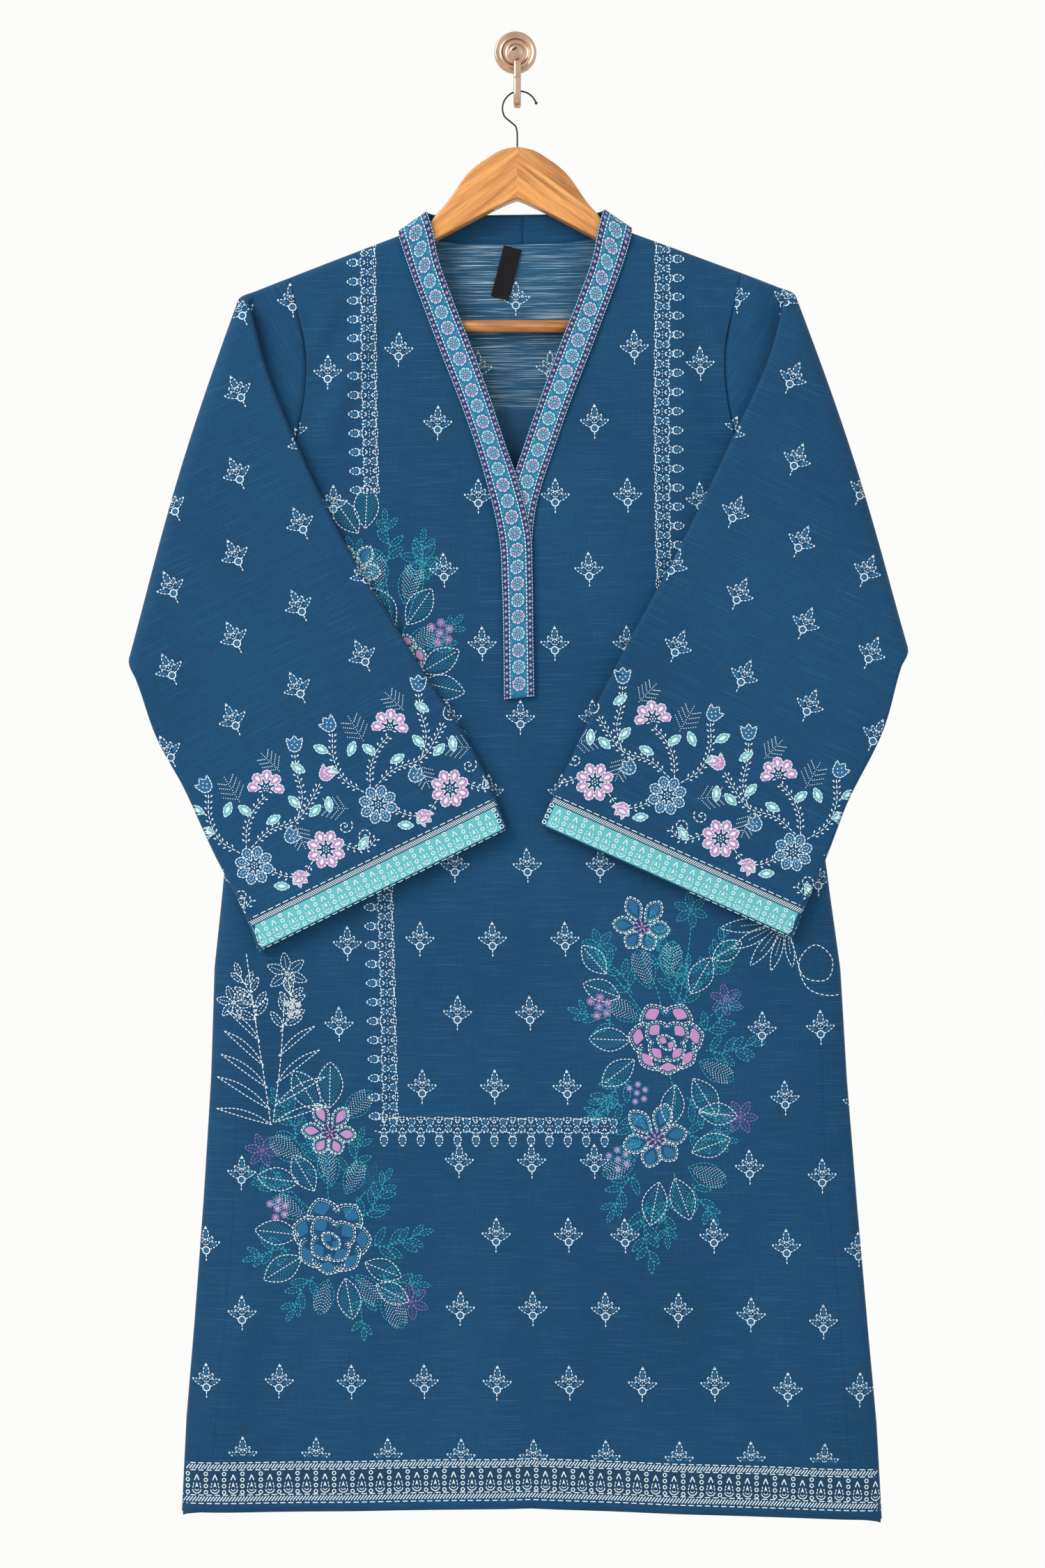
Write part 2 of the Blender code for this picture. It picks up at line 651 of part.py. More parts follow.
def make_band(side, finish, collection):
    inner, outer = band_rows(side)
    if side == "left":
        inner[0, 0] -= SEAM_GAP
        outer[0, 0] -= SEAM_GAP
    across = np.linspace(0, 1, BAND_COLUMNS + 1)[None, :, None]
    grid = inner[:, None, :] * (1 - across) + outer[:, None, :] * across
    faces = grid_faces(grid.shape[0], grid.shape[1])
    if side == "right":
        faces = [face[::-1] for face in faces]
    name = f"neck_band_{side}"
    obj = add_object(name, mesh_from(name, grid.reshape(-1, 3), faces), finish, collection)
    thicken(obj, WALL)
    return obj


def make_label(finish, collection):
    work = bmesh.new()
    bmesh.ops.create_cube(work, size=1.0)
    bmesh.ops.scale(work, vec=Vector(LABEL_SIZE) * MM, verts=work.verts)
    mesh = bpy.data.meshes.new("neck_label")
    work.to_mesh(mesh)
    work.free()
    obj = add_object("neck_label", mesh, finish, collection)
    obj.location = Vector(LABEL_CENTRE) * MM
    obj.rotation_euler = (0.0, LABEL_TILT, 0.0)
    return obj


def plate(name, outline, thickness, bevel, finish, collection):
    """A flat piece with rounded rims: an outline in a plane, thickened across it and bevelled."""
    work = bmesh.new()
    corners = [work.verts.new(Vector(point) * MM) for point in outline]
    work.faces.new(corners)
    mesh = bpy.data.meshes.new(name)
    work.to_mesh(mesh)
    work.free()
    mesh.shade_smooth()
    obj = add_object(name, mesh, finish, collection)
    thicken(obj, thickness)
    rims = obj.modifiers.new("rounded rims", "BEVEL")
    rims.width = bevel * MM
    rims.segments = 3
    rims.limit_method = "ANGLE"
    rims.angle_limit = math.radians(50)
    return obj


def box(name, low, high, collection):
    """A cutter between two corners in mm."""
    work = bmesh.new()
    bmesh.ops.create_cube(work, size=1.0)
    size = Vector(high) - Vector(low)
    bmesh.ops.scale(work, vec=size * MM, verts=work.verts)
    mesh = bpy.data.meshes.new(name)
    work.to_mesh(mesh)
    work.free()
    obj = add_object(name, mesh, None, collection)
    obj.location = (Vector(high) + Vector(low)) * (MM / 2)
    return as_cutter(obj)


def as_cutter(obj):
    obj.hide_render = True
    obj.display_type = "WIRE"
    return obj


def cylinder(name, centre, radius, length, axis, finish, collection):
    work = bmesh.new()
    bmesh.ops.create_cone(work, cap_ends=True, segments=ROUND_STEPS, radius1=radius * MM,
                          radius2=radius * MM, depth=length * MM)
    mesh = bpy.data.meshes.new(name)
    work.to_mesh(mesh)
    work.free()
    mesh.shade_smooth()
    mesh.set_sharp_from_angle(angle=math.radians(40))
    obj = add_object(name, mesh, finish, collection)
    obj.location = Vector(centre) * MM
    obj.rotation_euler = Vector(axis).to_track_quat("Z", "Y").to_euler()
    return obj


def cut(obj, cutter, operation):
    made = obj.modifiers.new(cutter.name, "BOOLEAN")
    made.operation = operation
    made.solver = "EXACT"
    made.object = cutter


def hanger_outline():
    """The whole outline of the wood, clockwise from the top of the joint."""
    top_steps = (len(HANGER_TOP) - 1) * HANGER_STEPS
    bottom_steps = (len(HANGER_BOTTOM) - 1) * HANGER_STEPS
    top = smooth_path(HANGER_TOP, np.linspace(0, 1, top_steps + 1))
    bottom = smooth_path(HANGER_BOTTOM, np.linspace(0, 1, bottom_steps + 1))
    right = np.concatenate([top, bottom])
    left = right[::-1] * (-1, 1)
    whole = np.concatenate([right, left[1:-1]])
    return [(x, 0.0, z) for x, z in whole]


def hanger_frame(collection):
    """The empty that carries the hanger, on the joint's line and level with the origin."""
    frame = bpy.data.objects.new("hanger_frame", None)
    collection.objects.link(frame)
    frame.location = Vector((HANGER_CENTRE_X, HANG_Y, 0.0)) * MM
    return frame


def make_hanger(wood, bar_wood, collection, cutters):
    """Two arms that meet in a butt joint, each with a socket for an end of the trouser bar."""
    frame = hanger_frame(collection)
    reach_x, reach_y, (low_z, high_z) = HALF_SPACE
    for side, sign in (("left", -1), ("right", 1)):
        name = f"hanger_arm_{side}"
        arm = plate(name, hanger_outline(), HANGER_THICK, HANGER_BEVEL, wood, collection)
        ends = sorted((sign * SPLIT_GAP / 2, sign * reach_x))
        half = box(f"half_space_{side}", (ends[0], -reach_y, low_z), (ends[1], reach_y, high_z), cutters)
        centre = (sign * (SOCKET_START + SOCKET_END) / 2, 0.0, BAR_Z)
        socket = as_cutter(cylinder(f"socket_{side}", centre, SOCKET_RADIUS,
                                    SOCKET_END - SOCKET_START, (1, 0, 0), None, cutters))
        cut(arm, half, "INTERSECT")
        cut(arm, socket, "DIFFERENCE")
        for piece in (arm, half, socket):
            piece.parent = frame
    bar = cylinder("trouser_bar", (0.0, 0.0, BAR_Z), BAR_RADIUS, 2 * BAR_HALF, (1, 0, 0), bar_wood,
                   collection)
    bar.parent = frame


def make_wire(finish, collection):
    """The hook of the hanger: an open loop, then a stem into the wood."""
    turns = np.radians(np.arange(WIRE_LOOP_FROM, WIRE_LOOP_TO, WIRE_LOOP_STEP))
    loop = np.stack([np.cos(turns), np.sin(turns)], axis=1) * WIRE_LOOP_RADIUS + WIRE_LOOP_CENTRE
    route = smooth_path([*loop, *WIRE_STEM], np.linspace(0, 1, WIRE_POINTS))
    data = bpy.data.curves.new("hanger_hook", "CURVE")
    data.dimensions = "3D"
    data.bevel_depth = WIRE_RADIUS * MM
    data.bevel_resolution = 1
    data.use_fill_caps = True
    spline = data.splines.new("POLY")
    spline.points.add(len(route) - 1)
    for point, (x, z) in zip(spline.points, route):
        point.co = (x * MM, HANG_Y * MM, z * MM, 1.0)
    obj = bpy.data.objects.new("hanger_hook", data)
    collection.objects.link(obj)
    data.materials.append(finish)
    return loop[0]


def make_ball(wire_end, finish, collection):
    """The ball on the wire's free end, just clear of it."""
    turn = math.radians(WIRE_LOOP_FROM)
    x, z = wire_end + np.array([math.sin(turn), -math.cos(turn)]) * (BALL_RADIUS + BALL_GAP)
    work = bmesh.new()
    bmesh.ops.create_uvsphere(work, u_segments=14, v_segments=8, radius=BALL_RADIUS * MM)
    mesh = bpy.data.meshes.new("hook_ball")
    work.to_mesh(mesh)
    work.free()
    mesh.shade_smooth()
    obj = add_object("hook_ball", mesh, finish, collection)
    obj.location = Vector((x, HANG_Y, z)) * MM
    return obj


def turned(name, profile, base, axis, finish, collection):
    """A turned piece: its profile screwed about its own Z, which then points along the axis."""
    mesh = bpy.data.meshes.new(name)
    points = [(radius * MM, 0.0, height * MM) for radius, height in profile]
    mesh.from_pydata(points, [(i, i + 1) for i in range(len(points) - 1)], [])
    obj = add_object(name, mesh, finish, collection)
    screw = obj.modifiers.new("turning", "SCREW")
    screw.steps = screw.render_steps = ROUND_STEPS
    screw.use_merge_vertices = True
    screw.merge_threshold = 0.00005
    obj.location = Vector(base) * MM
    obj.rotation_euler = Vector(axis).to_track_quat("Z", "Y").to_euler()
    return obj


def j_outline():
    """Side view of the J: a rod down, a thick round belly and a tip that stands up in front."""
    trough_centre = (J_ROD_FRONT_Y + J_TIP_BACK_Y) / 2
    trough_radius = (J_ROD_FRONT_Y - J_TIP_BACK_Y) / 2
    belly_centre = (J_BACK_Y + J_TIP_FRONT_Y) / 2
    belly_radius = (J_BACK_Y - J_TIP_FRONT_Y) / 2
    tip_centre = (J_TIP_BACK_Y + J_TIP_FRONT_Y) / 2
    tip_radius = (J_TIP_BACK_Y - J_TIP_FRONT_Y) / 2
    points = [(J_BACK_Y, J_TOP_Z), (J_ROD_FRONT_Y, J_TOP_Z)]
    for turn in np.linspace(0, math.pi, 9):
        points.append((trough_centre + trough_radius * math.cos(turn),
                       J_TROUGH_Z + trough_radius - trough_radius * math.sin(turn)))
    for turn in np.linspace(0, math.pi, 7):
        points.append((tip_centre + tip_radius * math.cos(turn), J_TIP_Z + tip_radius * math.sin(turn)))
    for turn in np.linspace(0, math.pi, 13):
        points.append((belly_centre - belly_radius * math.cos(turn),
                       J_BOTTOM_Z + belly_radius - belly_radius * math.sin(turn)))
    return [(J_CENTRE_X, y, z) for y, z in points]


def make_wall_hook(finish, collection):
    turned("rosette", ROSETTE_PROFILE, (0, 0, 0), (0, -1, 0), finish, collection)
    way = Vector(POST_END) - Vector(POST_BASE)
    turned("hook_post", POST_PROFILE, POST_BASE, way, finish, collection)
    plate("hook_arm", j_outline(), J_WIDTH, J_BEVEL, finish, collection)


def main():
    clear_scene()
    parts = new_collection("kameez_on_hanger", bpy.context.scene.collection)
    cutters = new_collection("cutters", bpy.context.scene.collection)
    make_wall_hook(material("satin nickel", (0.62, 0.50, 0.43), 0.3, 1.0), parts)
    end = make_wire(material("dark steel", (0.16, 0.16, 0.17), 0.35, 1.0), parts)
    make_ball(end, material("dark steel tip", (0.10, 0.10, 0.11), 0.4, 1.0), parts)
    wood = material("honey wood", (0.62, 0.33, 0.12), 0.5)
    make_hanger(wood, material("honey wood bar", (0.60, 0.31, 0.12), 0.5), parts, cutters)
    make_panel("front", True, material("blue cloth front", (0.02, 0.09, 0.24), 0.9), parts)
    make_panel("back", False, material("blue cloth back", (0.02, 0.09, 0.24), 0.9), parts)
    for side in ("left", "right"):
        make_sleeve(side, material(f"blue cloth sleeve {side}", (0.02, 0.09, 0.24), 0.9), parts)
        make_band(side, material(f"teal band {side}", (0.03, 0.20, 0.33), 0.9), parts)
    make_label(material("black label", (0.01, 0.01, 0.01), 0.8), parts)


main()
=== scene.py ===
"""A kameez tunic on a wooden trouser-bar hanger, hung from a rosette hook on a wall: its looks.

Lengths are in millimetres until a mesh is made, in the frame of the solids: +Z up, +X to the right of
someone who faces the wall, +Y into the wall. The cloth is worked out on its flat pattern, then hung; the
prints are drawn flat, in inks, and laid on the cloth.
"""

import logging
import math
from dataclasses import dataclass, field
from enum import Enum
from functools import cache
from typing import Callable, Sequence

import bmesh
import bpy
import numpy as np
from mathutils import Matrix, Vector


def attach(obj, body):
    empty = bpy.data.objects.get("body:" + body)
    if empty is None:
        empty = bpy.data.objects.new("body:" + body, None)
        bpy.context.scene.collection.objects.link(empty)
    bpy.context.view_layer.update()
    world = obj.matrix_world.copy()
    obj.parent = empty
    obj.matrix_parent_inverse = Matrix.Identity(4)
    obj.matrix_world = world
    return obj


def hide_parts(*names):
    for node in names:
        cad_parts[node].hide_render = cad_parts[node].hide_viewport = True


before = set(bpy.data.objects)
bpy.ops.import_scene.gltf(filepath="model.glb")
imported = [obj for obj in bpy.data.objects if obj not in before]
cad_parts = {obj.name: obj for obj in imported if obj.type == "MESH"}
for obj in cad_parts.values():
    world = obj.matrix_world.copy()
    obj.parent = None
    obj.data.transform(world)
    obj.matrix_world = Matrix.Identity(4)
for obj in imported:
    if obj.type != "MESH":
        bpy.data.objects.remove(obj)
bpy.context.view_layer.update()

Array = np.ndarray
Pair = tuple[float, float]
Triple = tuple[float, float, float]
Piece = bpy.types.Object
Socket = bpy.types.NodeSocket
LOG = logging.getLogger("kameez")
MM = 0.001
UNIT = 0.567  # one unit of the print's own grid, mm
CLOTH_UV = "cloth"
LINE = 0.86  # share of a drawn width that the printed line keeps
JOINED = 0.02  # points closer than this become one, mm


class Side(Enum):
    """A side of the part, with the sign of its x."""

    LEFT = -1
    RIGHT = 1

    def __str__(self) -> str:
        """Its word in the names of pieces."""
        return self.name.lower()


# ---------------------------------------------------------------- finishes


class Graph:
    """A node tree that is being wired, of a material or of a group."""

    def __init__(self, tree: bpy.types.NodeTree) -> None:
        """Starts on an empty tree."""
        self.tree = tree
        tree.nodes.clear()

    def add(self, kind: str, inputs: dict | None = None, **settings: object) -> bpy.types.Node:
        """Adds a node.

        Args:
            kind: the node's type name, without its ShaderNode prefix.
            inputs: what its sockets take, by name or index: a socket to link, or a constant.
            settings: its properties.

        Returns:
            The node.
        """
        node = self.tree.nodes.new(kind if kind.startswith("Node") else "ShaderNode" + kind)
        for name, value in settings.items():
            setattr(node, name, value)
        for name, value in (inputs or {}).items():
            if isinstance(value, Socket):
                self.tree.links.new(value, node.inputs[name])
            else:
                node.inputs[name].default_value = value
        return node

    def place(self) -> Socket:
        """The place on the object, in metres."""
        return self.add("TexCoord").outputs["Object"]

    def noise(self, vector: Socket, scale: Sequence[float], detail: float = 2.0) -> Socket:
        """Noise, 0 to 1.

        Args:
            vector: where to read it.
            scale: cells for each metre along x, y and z.
            detail: octaves.

        Returns:
            The value's socket.
        """
        placed = self.add("Mapping", {"Vector": vector, "Scale": tuple(scale)}).outputs[0]
        return self.add("TexNoise", {"Vector": placed, "Scale": 1.0, "Detail": detail}).outputs[0]

    def ranged(self, value: Socket, low: float, high: float, start: float = 0.0, end: float = 1.0) -> Socket:
        """Maps low to high onto start to end, and stops at both ends."""
        return self.add("MapRange", {0: value, 1: low, 2: high, 3: start, 4: end}).outputs[0]

    def maths(self, operation: str, first: object, second: object) -> Socket:
        """One sum of two values or sockets."""
        return self.add("Math", {0: first, 1: second}, operation=operation).outputs[0]

    def mixed(self, share: object, first: object, second: object) -> Socket:
        """One colour mixed into another by a share."""
        return self.add("Mix", {0: share, 6: first, 7: second}, data_type="RGBA").outputs[2]

    def bump(self, height: Socket, strength: float, distance: float) -> Socket:
        """The normal of a relief of that height, in metres."""
        return self.add("Bump", {"Height": height, "Strength": strength, "Distance": distance}).outputs[0]


def make_group(wire: Callable[[Graph, Socket], dict[str, Socket]]) -> bpy.types.NodeTree:
    """Makes a shader node group that reads a vector and gives values.

    Args:
        wire: adds the nodes, and returns the sockets of the values by name.

    Returns:
        The group, with the function's name.
    """
    tree = bpy.data.node_groups.new(wire.__name__, "ShaderNodeTree")
    tree.interface.new_socket(name="Vector", in_out="INPUT", socket_type="NodeSocketVector")
    graph = Graph(tree)
    made = wire(graph, graph.add("NodeGroupInput").outputs["Vector"])
    for name in made:
        tree.interface.new_socket(name=name, in_out="OUTPUT", socket_type="NodeSocketFloat")
    graph.add("NodeGroupOutput", made)
    return tree


@make_group
def weave(graph: Graph, vector: Socket) -> dict[str, Socket]:
    """Plain weave: fine threads both ways, and slubs, which are thick places along the weft.

    Args:
        graph: the graph of the group.
        vector: where the pattern is read.

    Returns:
        The outputs of the group by name.
    """
    weft = graph.noise(vector, (70, 1500, 1500))
    warp = graph.noise(vector, (1500, 60, 1500))
    slub = graph.noise(vector, (22, 2600, 2600), 1.0)
    cross = graph.noise(vector, (1500, 30, 1500), 1.0)
    dense = graph.noise(vector, (19, 2100, 2100), 3.0)
    height = graph.maths("ADD", graph.maths("MULTIPLY", weft, 0.6), graph.maths("MULTIPLY", warp, 0.4))
    streak = graph.maths("ADD", graph.ranged(slub, 0.58, 0.74), graph.ranged(cross, 0.60, 0.80, 0.0, 0.3))
    weft, warp = graph.ranged(weft, 0.25, 0.75, -0.5, 0.5), graph.ranged(warp, 0.25, 0.75, -0.4, 0.4)
    shade = graph.maths("ADD", weft, warp)
    return {"Height": height, "Slub": streak, "Dense": graph.ranged(dense, 0.555, 0.66), "Shade": shade}


@make_group
def grain(graph: Graph, vector: Socket) -> dict[str, Socket]:
    """Wood grain along the vector's x: long figure, thin pores and a slow change of tone.

    Args:
        graph: the graph of the group.
        vector: where the pattern is read.

    Returns:
        The outputs of the group by name.
    """
    bent = graph.noise(vector, (5, 16, 16))
    figure = graph.noise(vector, (16, 420, 260), 6.0)
    pores = graph.noise(vector, (60, 2200, 1300))
    tone = graph.ranged(graph.maths("ADD", figure, graph.maths("MULTIPLY", bent, 0.5)), 0.53, 0.90)
    return {"Tone": tone, "Pore": graph.ranged(pores, 0.55, 0.72), "Slow": graph.ranged(bent, 0.3, 0.7)}


@make_group
def brushed(graph: Graph, vector: Socket) -> dict[str, Socket]:
    """Satin metal: very fine scratches, and a faint change of dullness."""
    fine = graph.noise(vector, (2600, 2600, 240))
    return {"Height": fine, "Dull": graph.ranged(graph.noise(vector, (90, 90, 90), 3.0), 0.3, 0.7)}


def rgba(colour: Sequence[float], factor: float = 1.0) -> tuple[float, float, float, float]:
    """A linear colour with its alpha, brightened by a factor."""
    return (colour[0] * factor, colour[1] * factor, colour[2] * factor, 1.0)


@dataclass(frozen=True)
class Finish:
    """A plain matt finish, and the base of the others.

    Args:
        name: the material's name.
        colour: linear colour of its ground.
    """

    name: str
    colour: Triple

    def inputs(self, graph: Graph) -> dict[str, object]:
        """Wires what leads up to the shader, and returns what its inputs take."""
        return {"Base Color": rgba(self.colour), "Roughness": 0.9}

    @cache
    def make(self) -> bpy.types.Material:
        """The material, made once, with only its Principled shader and its output.

        Returns:
            The material, the same one at every call.
        """
        material = bpy.data.materials.new(self.name)
        material.use_nodes = True
        graph = Graph(material.node_tree)
        shader = graph.add("BsdfPrincipled", self.inputs(graph))
        graph.add("OutputMaterial", {"Surface": shader.outputs[0]})
        return material


@dataclass(frozen=True)
class InkFinish(Finish):
    """Printed ink: its plain colour, with the weave showing through as relief.

    Args:
        lift: how far it stands off the cloth, mm, so that one ink covers another.
    """

    lift: float

    def inputs(self, graph: Graph) -> dict[str, object]:
        """Wires the relief, and returns what the shader's inputs take.

        Args:
            graph: the graph of the material.

        Returns:
            What the inputs of the shader take: values, or sockets of the graph.
        """
        threads = graph.noise(graph.place(), (900, 900, 1500))
        return {"Base Color": rgba(self.colour), "Roughness": 0.85, "Specular IOR Level": 0.25,
                "Normal": graph.bump(threads, 0.35, 0.0003)}


class Ink(Enum):
    """The inks that the cloth is printed and stitched with."""

    NIGHT = InkFinish("ink_night", (0.0045, 0.0355, 0.0830), 0.10)
    SEAM = InkFinish("ink_seam", (0.008, 0.030, 0.085), 0.13)
    AQUA = InkFinish("ink_aqua", (0.094, 0.380, 0.400), 0.13)
    SKY = InkFinish("ink_sky", (0.0140, 0.1000, 0.2150), 0.16)
    LILAC = InkFinish("ink_lilac", (0.390, 0.195, 0.385), 0.19)
    TEAL = InkFinish("ink_teal", (0.026, 0.265, 0.350), 0.19)
    VIOLET = InkFinish("ink_violet", (0.230, 0.115, 0.330), 0.19)
    WHITE = InkFinish("ink_white", (0.560, 0.640, 0.680), 0.24)


NIGHT, SEAM, AQUA, SKY, LILAC, TEAL, VIOLET, WHITE = Ink


@dataclass(frozen=True)
class ClothFinish(Finish):
    """Matt cotton with slubs.

    Args:
        slub_colour: linear colour of the slubs.
        slub_share: how much of it shows, 0 to 1.
        relief: strength of the weave's bump.
        dense_above: height in metres above which dense slubs show; None for thin ones all over.
    """

    slub_colour: Triple
    slub_share: float
    relief: float = 0.30
    dense_above: float | None = None

    def inputs(self, graph: Graph) -> dict[str, object]:
        """Wires ground, slubs and threads, and returns what the shader's inputs take.

        Args:
            graph: the graph of the material.

        Returns:
            What the inputs of the shader take: values, or sockets of the graph.
        """
        place = graph.add("UVMap", uv_map=CLOTH_UV).outputs[0]
        threads = graph.add("Group", {"Vector": place}, node_tree=weave).outputs
        slow = graph.ranged(graph.noise(place, (6, 5, 5)), 0.35, 0.65)
        ground = graph.mixed(slow, rgba(self.colour, 0.93), rgba(self.colour, 1.07))
        thin = self.dense_above is None
        share = graph.maths("MULTIPLY", threads["Slub" if thin else "Dense"], self.slub_share)
        if not thin:
            height = graph.add("SeparateXYZ", {0: graph.place()}).outputs[2]
            above = graph.ranged(height, self.dense_above, self.dense_above + 0.002)
            share = graph.maths("MULTIPLY", share, above)
        slubbed = graph.mixed(share, ground, rgba(self.slub_colour))
        light = graph.maths("ADD", 1.0, graph.maths("MULTIPLY", threads["Shade"], 0.22))
        colour = graph.add("VectorMath", {0: slubbed, 3: light}, operation="SCALE").outputs[0]
        return {"Base Color": colour, "Roughness": 0.88, "Specular IOR Level": 0.15, "Sheen Weight": 0.05,
                "Sheen Roughness": 0.5, "Normal": graph.bump(threads["Height"], self.relief, 0.0004)}


@dataclass(frozen=True)
class WoodFinish(Finish):
    """Lacquered wood, its grain turned to run along one piece.

    Args:
        turn: angle of the grain from +X, in degrees, about the wall's normal.
        middle: linear colour of the slow patches.
        dark: linear colour of the figure's dark side and of the pores.
    """

    turn: float = 0.0
    middle: Triple = (0.530, 0.200, 0.040)
    dark: Triple = (0.240, 0.078, 0.016)

    def inputs(self, graph: Graph) -> dict[str, object]:
        """Wires the grain, and returns what the shader's inputs take.

        Args:
            graph: the graph of the material.

        Returns:
            What the inputs of the shader take: values, or sockets of the graph.
        """
        turn = (0.0, math.radians(self.turn), 0.0)
        turned = graph.add("Mapping", {"Vector": graph.place(), "Rotation": turn}).outputs[0]
        figure = graph.add("Group", {"Vector": turned}, node_tree=grain).outputs
        body = graph.mixed(figure["Tone"], rgba(self.dark), rgba(self.colour))
        warm = graph.mixed(graph.maths("MULTIPLY", figure["Slow"], 0.55), body, rgba(self.middle))
        pored = graph.mixed(graph.maths("MULTIPLY", figure["Pore"], 0.50), warm, rgba(self.dark))
        return {"Base Color": pored, "Roughness": 0.38, "Coat Weight": 0.15, "Coat Roughness": 0.22,
                "Normal": graph.bump(figure["Pore"], 0.12, -0.0003)}


@dataclass(frozen=True)
class MetalFinish(Finish):
    """Satin or plated metal.

    Args:
        rough: roughness of the brightest places.
    """

    rough: float

    def inputs(self, graph: Graph) -> dict[str, object]:
        """Wires the scratches, and returns what the shader's inputs take.

        Args:
            graph: the graph of the material.

        Returns:
            What the inputs of the shader take: values, or sockets of the graph.
        """
        satin = graph.add("Group", {"Vector": graph.place()}, node_tree=brushed).outputs
        return {"Base Color": graph.mixed(satin["Dull"], rgba(self.colour, 0.90), rgba(self.colour, 1.08)),
                "Roughness": graph.ranged(satin["Dull"], 0.0, 1.0, self.rough, self.rough + 0.10),
                "Metallic": 1.0, "Normal": graph.bump(satin["Height"], 0.08, 0.0002)}


KAMEEZ = ClothFinish("kameez_cloth", (0.0045, 0.0445, 0.1070), (0.024, 0.112, 0.220), 0.55)
WRONG_SIDE = ClothFinish("kameez_wrong_side", (0.0145, 0.0660, 0.1330), (0.370, 0.490, 0.550), 0.90,
                         dense_above=-0.3035)
BAND = ClothFinish("band_cloth", (0.0170, 0.1250, 0.2350), (0.045, 0.220, 0.330), 0.35)
LABEL = ClothFinish("label_cloth", (0.006, 0.006, 0.008), (0.02, 0.02, 0.022), 0.3, relief=0.15)
WOOD = (0.690, 0.320, 0.085)
NICKEL = MetalFinish("satin_nickel", (0.50, 0.340, 0.245), 0.24)
WIRE = MetalFinish("dark_wire", (0.040, 0.038, 0.040), 0.34)
# Painted shade: the slot in the hook post's end is a near-black rod whose dark colour stands for the shadow
# in the hollow.
SLOT_SHADE = MetalFinish("slot_shadow", (0.05, 0.045, 0.04), 0.5)


# ---------------------------------------------------------------- curves, meshes and pieces


def distances(points: Array) -> Array:
    """How far along a path each of its points lies."""
    return np.concatenate([[0.0], np.cumsum(np.linalg.norm(np.diff(points, axis=0), axis=1))])


def smooth_path(points: Sequence, where: Array) -> Array:
    """Points of a smooth curve through the given ones: cubic Hermite pieces by chord length.

    Args:
        points: the points that it passes.
        where: fractions of its length, 0 to 1.

    Returns:
        One row for each fraction.
    """
    points = np.asarray(points, float)
    at = distances(points)
    slopes = np.gradient(points, at, axis=0)
    where = np.clip(np.asarray(where, float), 0.0, 1.0) * at[-1]
    index = np.clip(np.searchsorted(at, where, side="right") - 1, 0, len(points) - 2)
    step = (at[index + 1] - at[index])[:, None]
    t = (where - at[index])[:, None] / step
    return (points[index] * (2 * t**3 - 3 * t**2 + 1) + slopes[index] * step * (t**3 - 2 * t**2 + t)
            + points[index + 1] * (3 * t**2 - 2 * t**3) + slopes[index + 1] * step * (t**3 - t**2))


def smooth_rows(points: Sequence, steps: int) -> Array:
    """The same smooth curve, with the same number of steps between any two of its points.

    Args:
        points: the points, a row each.
        steps: steps between two points.

    Returns:
        The points of the curve.
    """
    at = distances(np.asarray(points, float))
    rows = np.linspace(0, len(points) - 1, (len(points) - 1) * steps + 1)
    return smooth_path(points, np.interp(rows, np.arange(len(points)), at / at[-1]))


def ease(value: Array) -> Array:
    """0 to 1 with level ends: the cubic 3v^2 - 2v^3."""
    value = np.clip(value, 0.0, 1.0)
    return value * value * (3 - 2 * value)


def roll(distance: Array, reach: float) -> Array:
    """Quarter ellipse: 0 at a closing edge, 1 once the cloth is flat."""
    inward = 1 - np.clip(np.asarray(distance, float) / reach, 0.0, 1.0)
    return np.sqrt(np.maximum(0.0, 1 - inward * inward))


def row_of(places: Array, height: float | Array = 0.0) -> Array:
    """Places along x at one height, or at a height each, as rows of x and z."""
    return np.stack([places, 0 * places + height], axis=1)


def grid_faces(rows: int, columns: int, closed: bool = False) -> Array:
    """Quads over a grid of points, row by row.

    Args:
        rows: rows of points.
        columns: points in a row.
        closed: whether each row joins up with its own start.

    Returns:
        One row of four indices for each quad.
    """
    i, j = np.meshgrid(np.arange(rows - 1), np.arange(columns if closed else columns - 1), indexing="ij")
    k = (j + 1) % columns
    here, above = i * columns, (i + 1) * columns
    return np.stack([here + j, here + k, above + k, above + j], axis=-1).reshape(-1, 4)


def make_mesh(name: str, points: Array, faces: Array, uv: Array | None = None) -> bpy.types.Mesh:
    """A mesh from arrays.

    Args:
        name: the mesh's name.
        points: corners in mm, x, y and z in the last axis.
        faces: indices, one row for each face, all with the same number of corners.
        uv: the place on the cloth of each point in mm, or None.

    Returns:
        The mesh, in metres, smooth.
    """
    mesh = bpy.data.meshes.new(name)
    faces = np.asarray(faces, np.int32)
    mesh.vertices.add(points.size // 3)
    mesh.vertices.foreach_set("co", (points * MM).astype(np.float32).ravel())
    mesh.loops.add(faces.size)
    mesh.loops.foreach_set("vertex_index", faces.ravel())
    mesh.polygons.add(len(faces))
    mesh.polygons.foreach_set("loop_start", np.arange(0, faces.size, faces.shape[1], dtype=np.int32))
    if uv is not None:
        corners = uv.reshape(-1, 2)[faces.ravel()] * MM
        mesh.uv_layers.new(name=CLOTH_UV).data.foreach_set("uv", corners.astype(np.float32).ravel())
    mesh.update(calc_edges=True)
    mesh.validate()
    mesh.shade_smooth()
    return mesh


def weld(mesh: bpy.types.Mesh, outwards: bool = True) -> bpy.types.Mesh:
    """Merges doubled points, and turns the faces of a closed mesh outwards.

    Args:
        mesh: the mesh, which is changed.
        outwards: whether to turn its faces.

    Returns:
        The same mesh.
    """
    work = bmesh.new()
    work.from_mesh(mesh)
    bmesh.ops.remove_doubles(work, verts=work.verts, dist=JOINED * MM)
    if outwards:
        bmesh.ops.recalc_face_normals(work, faces=work.faces)
    work.to_mesh(mesh)
    work.free()
    return mesh


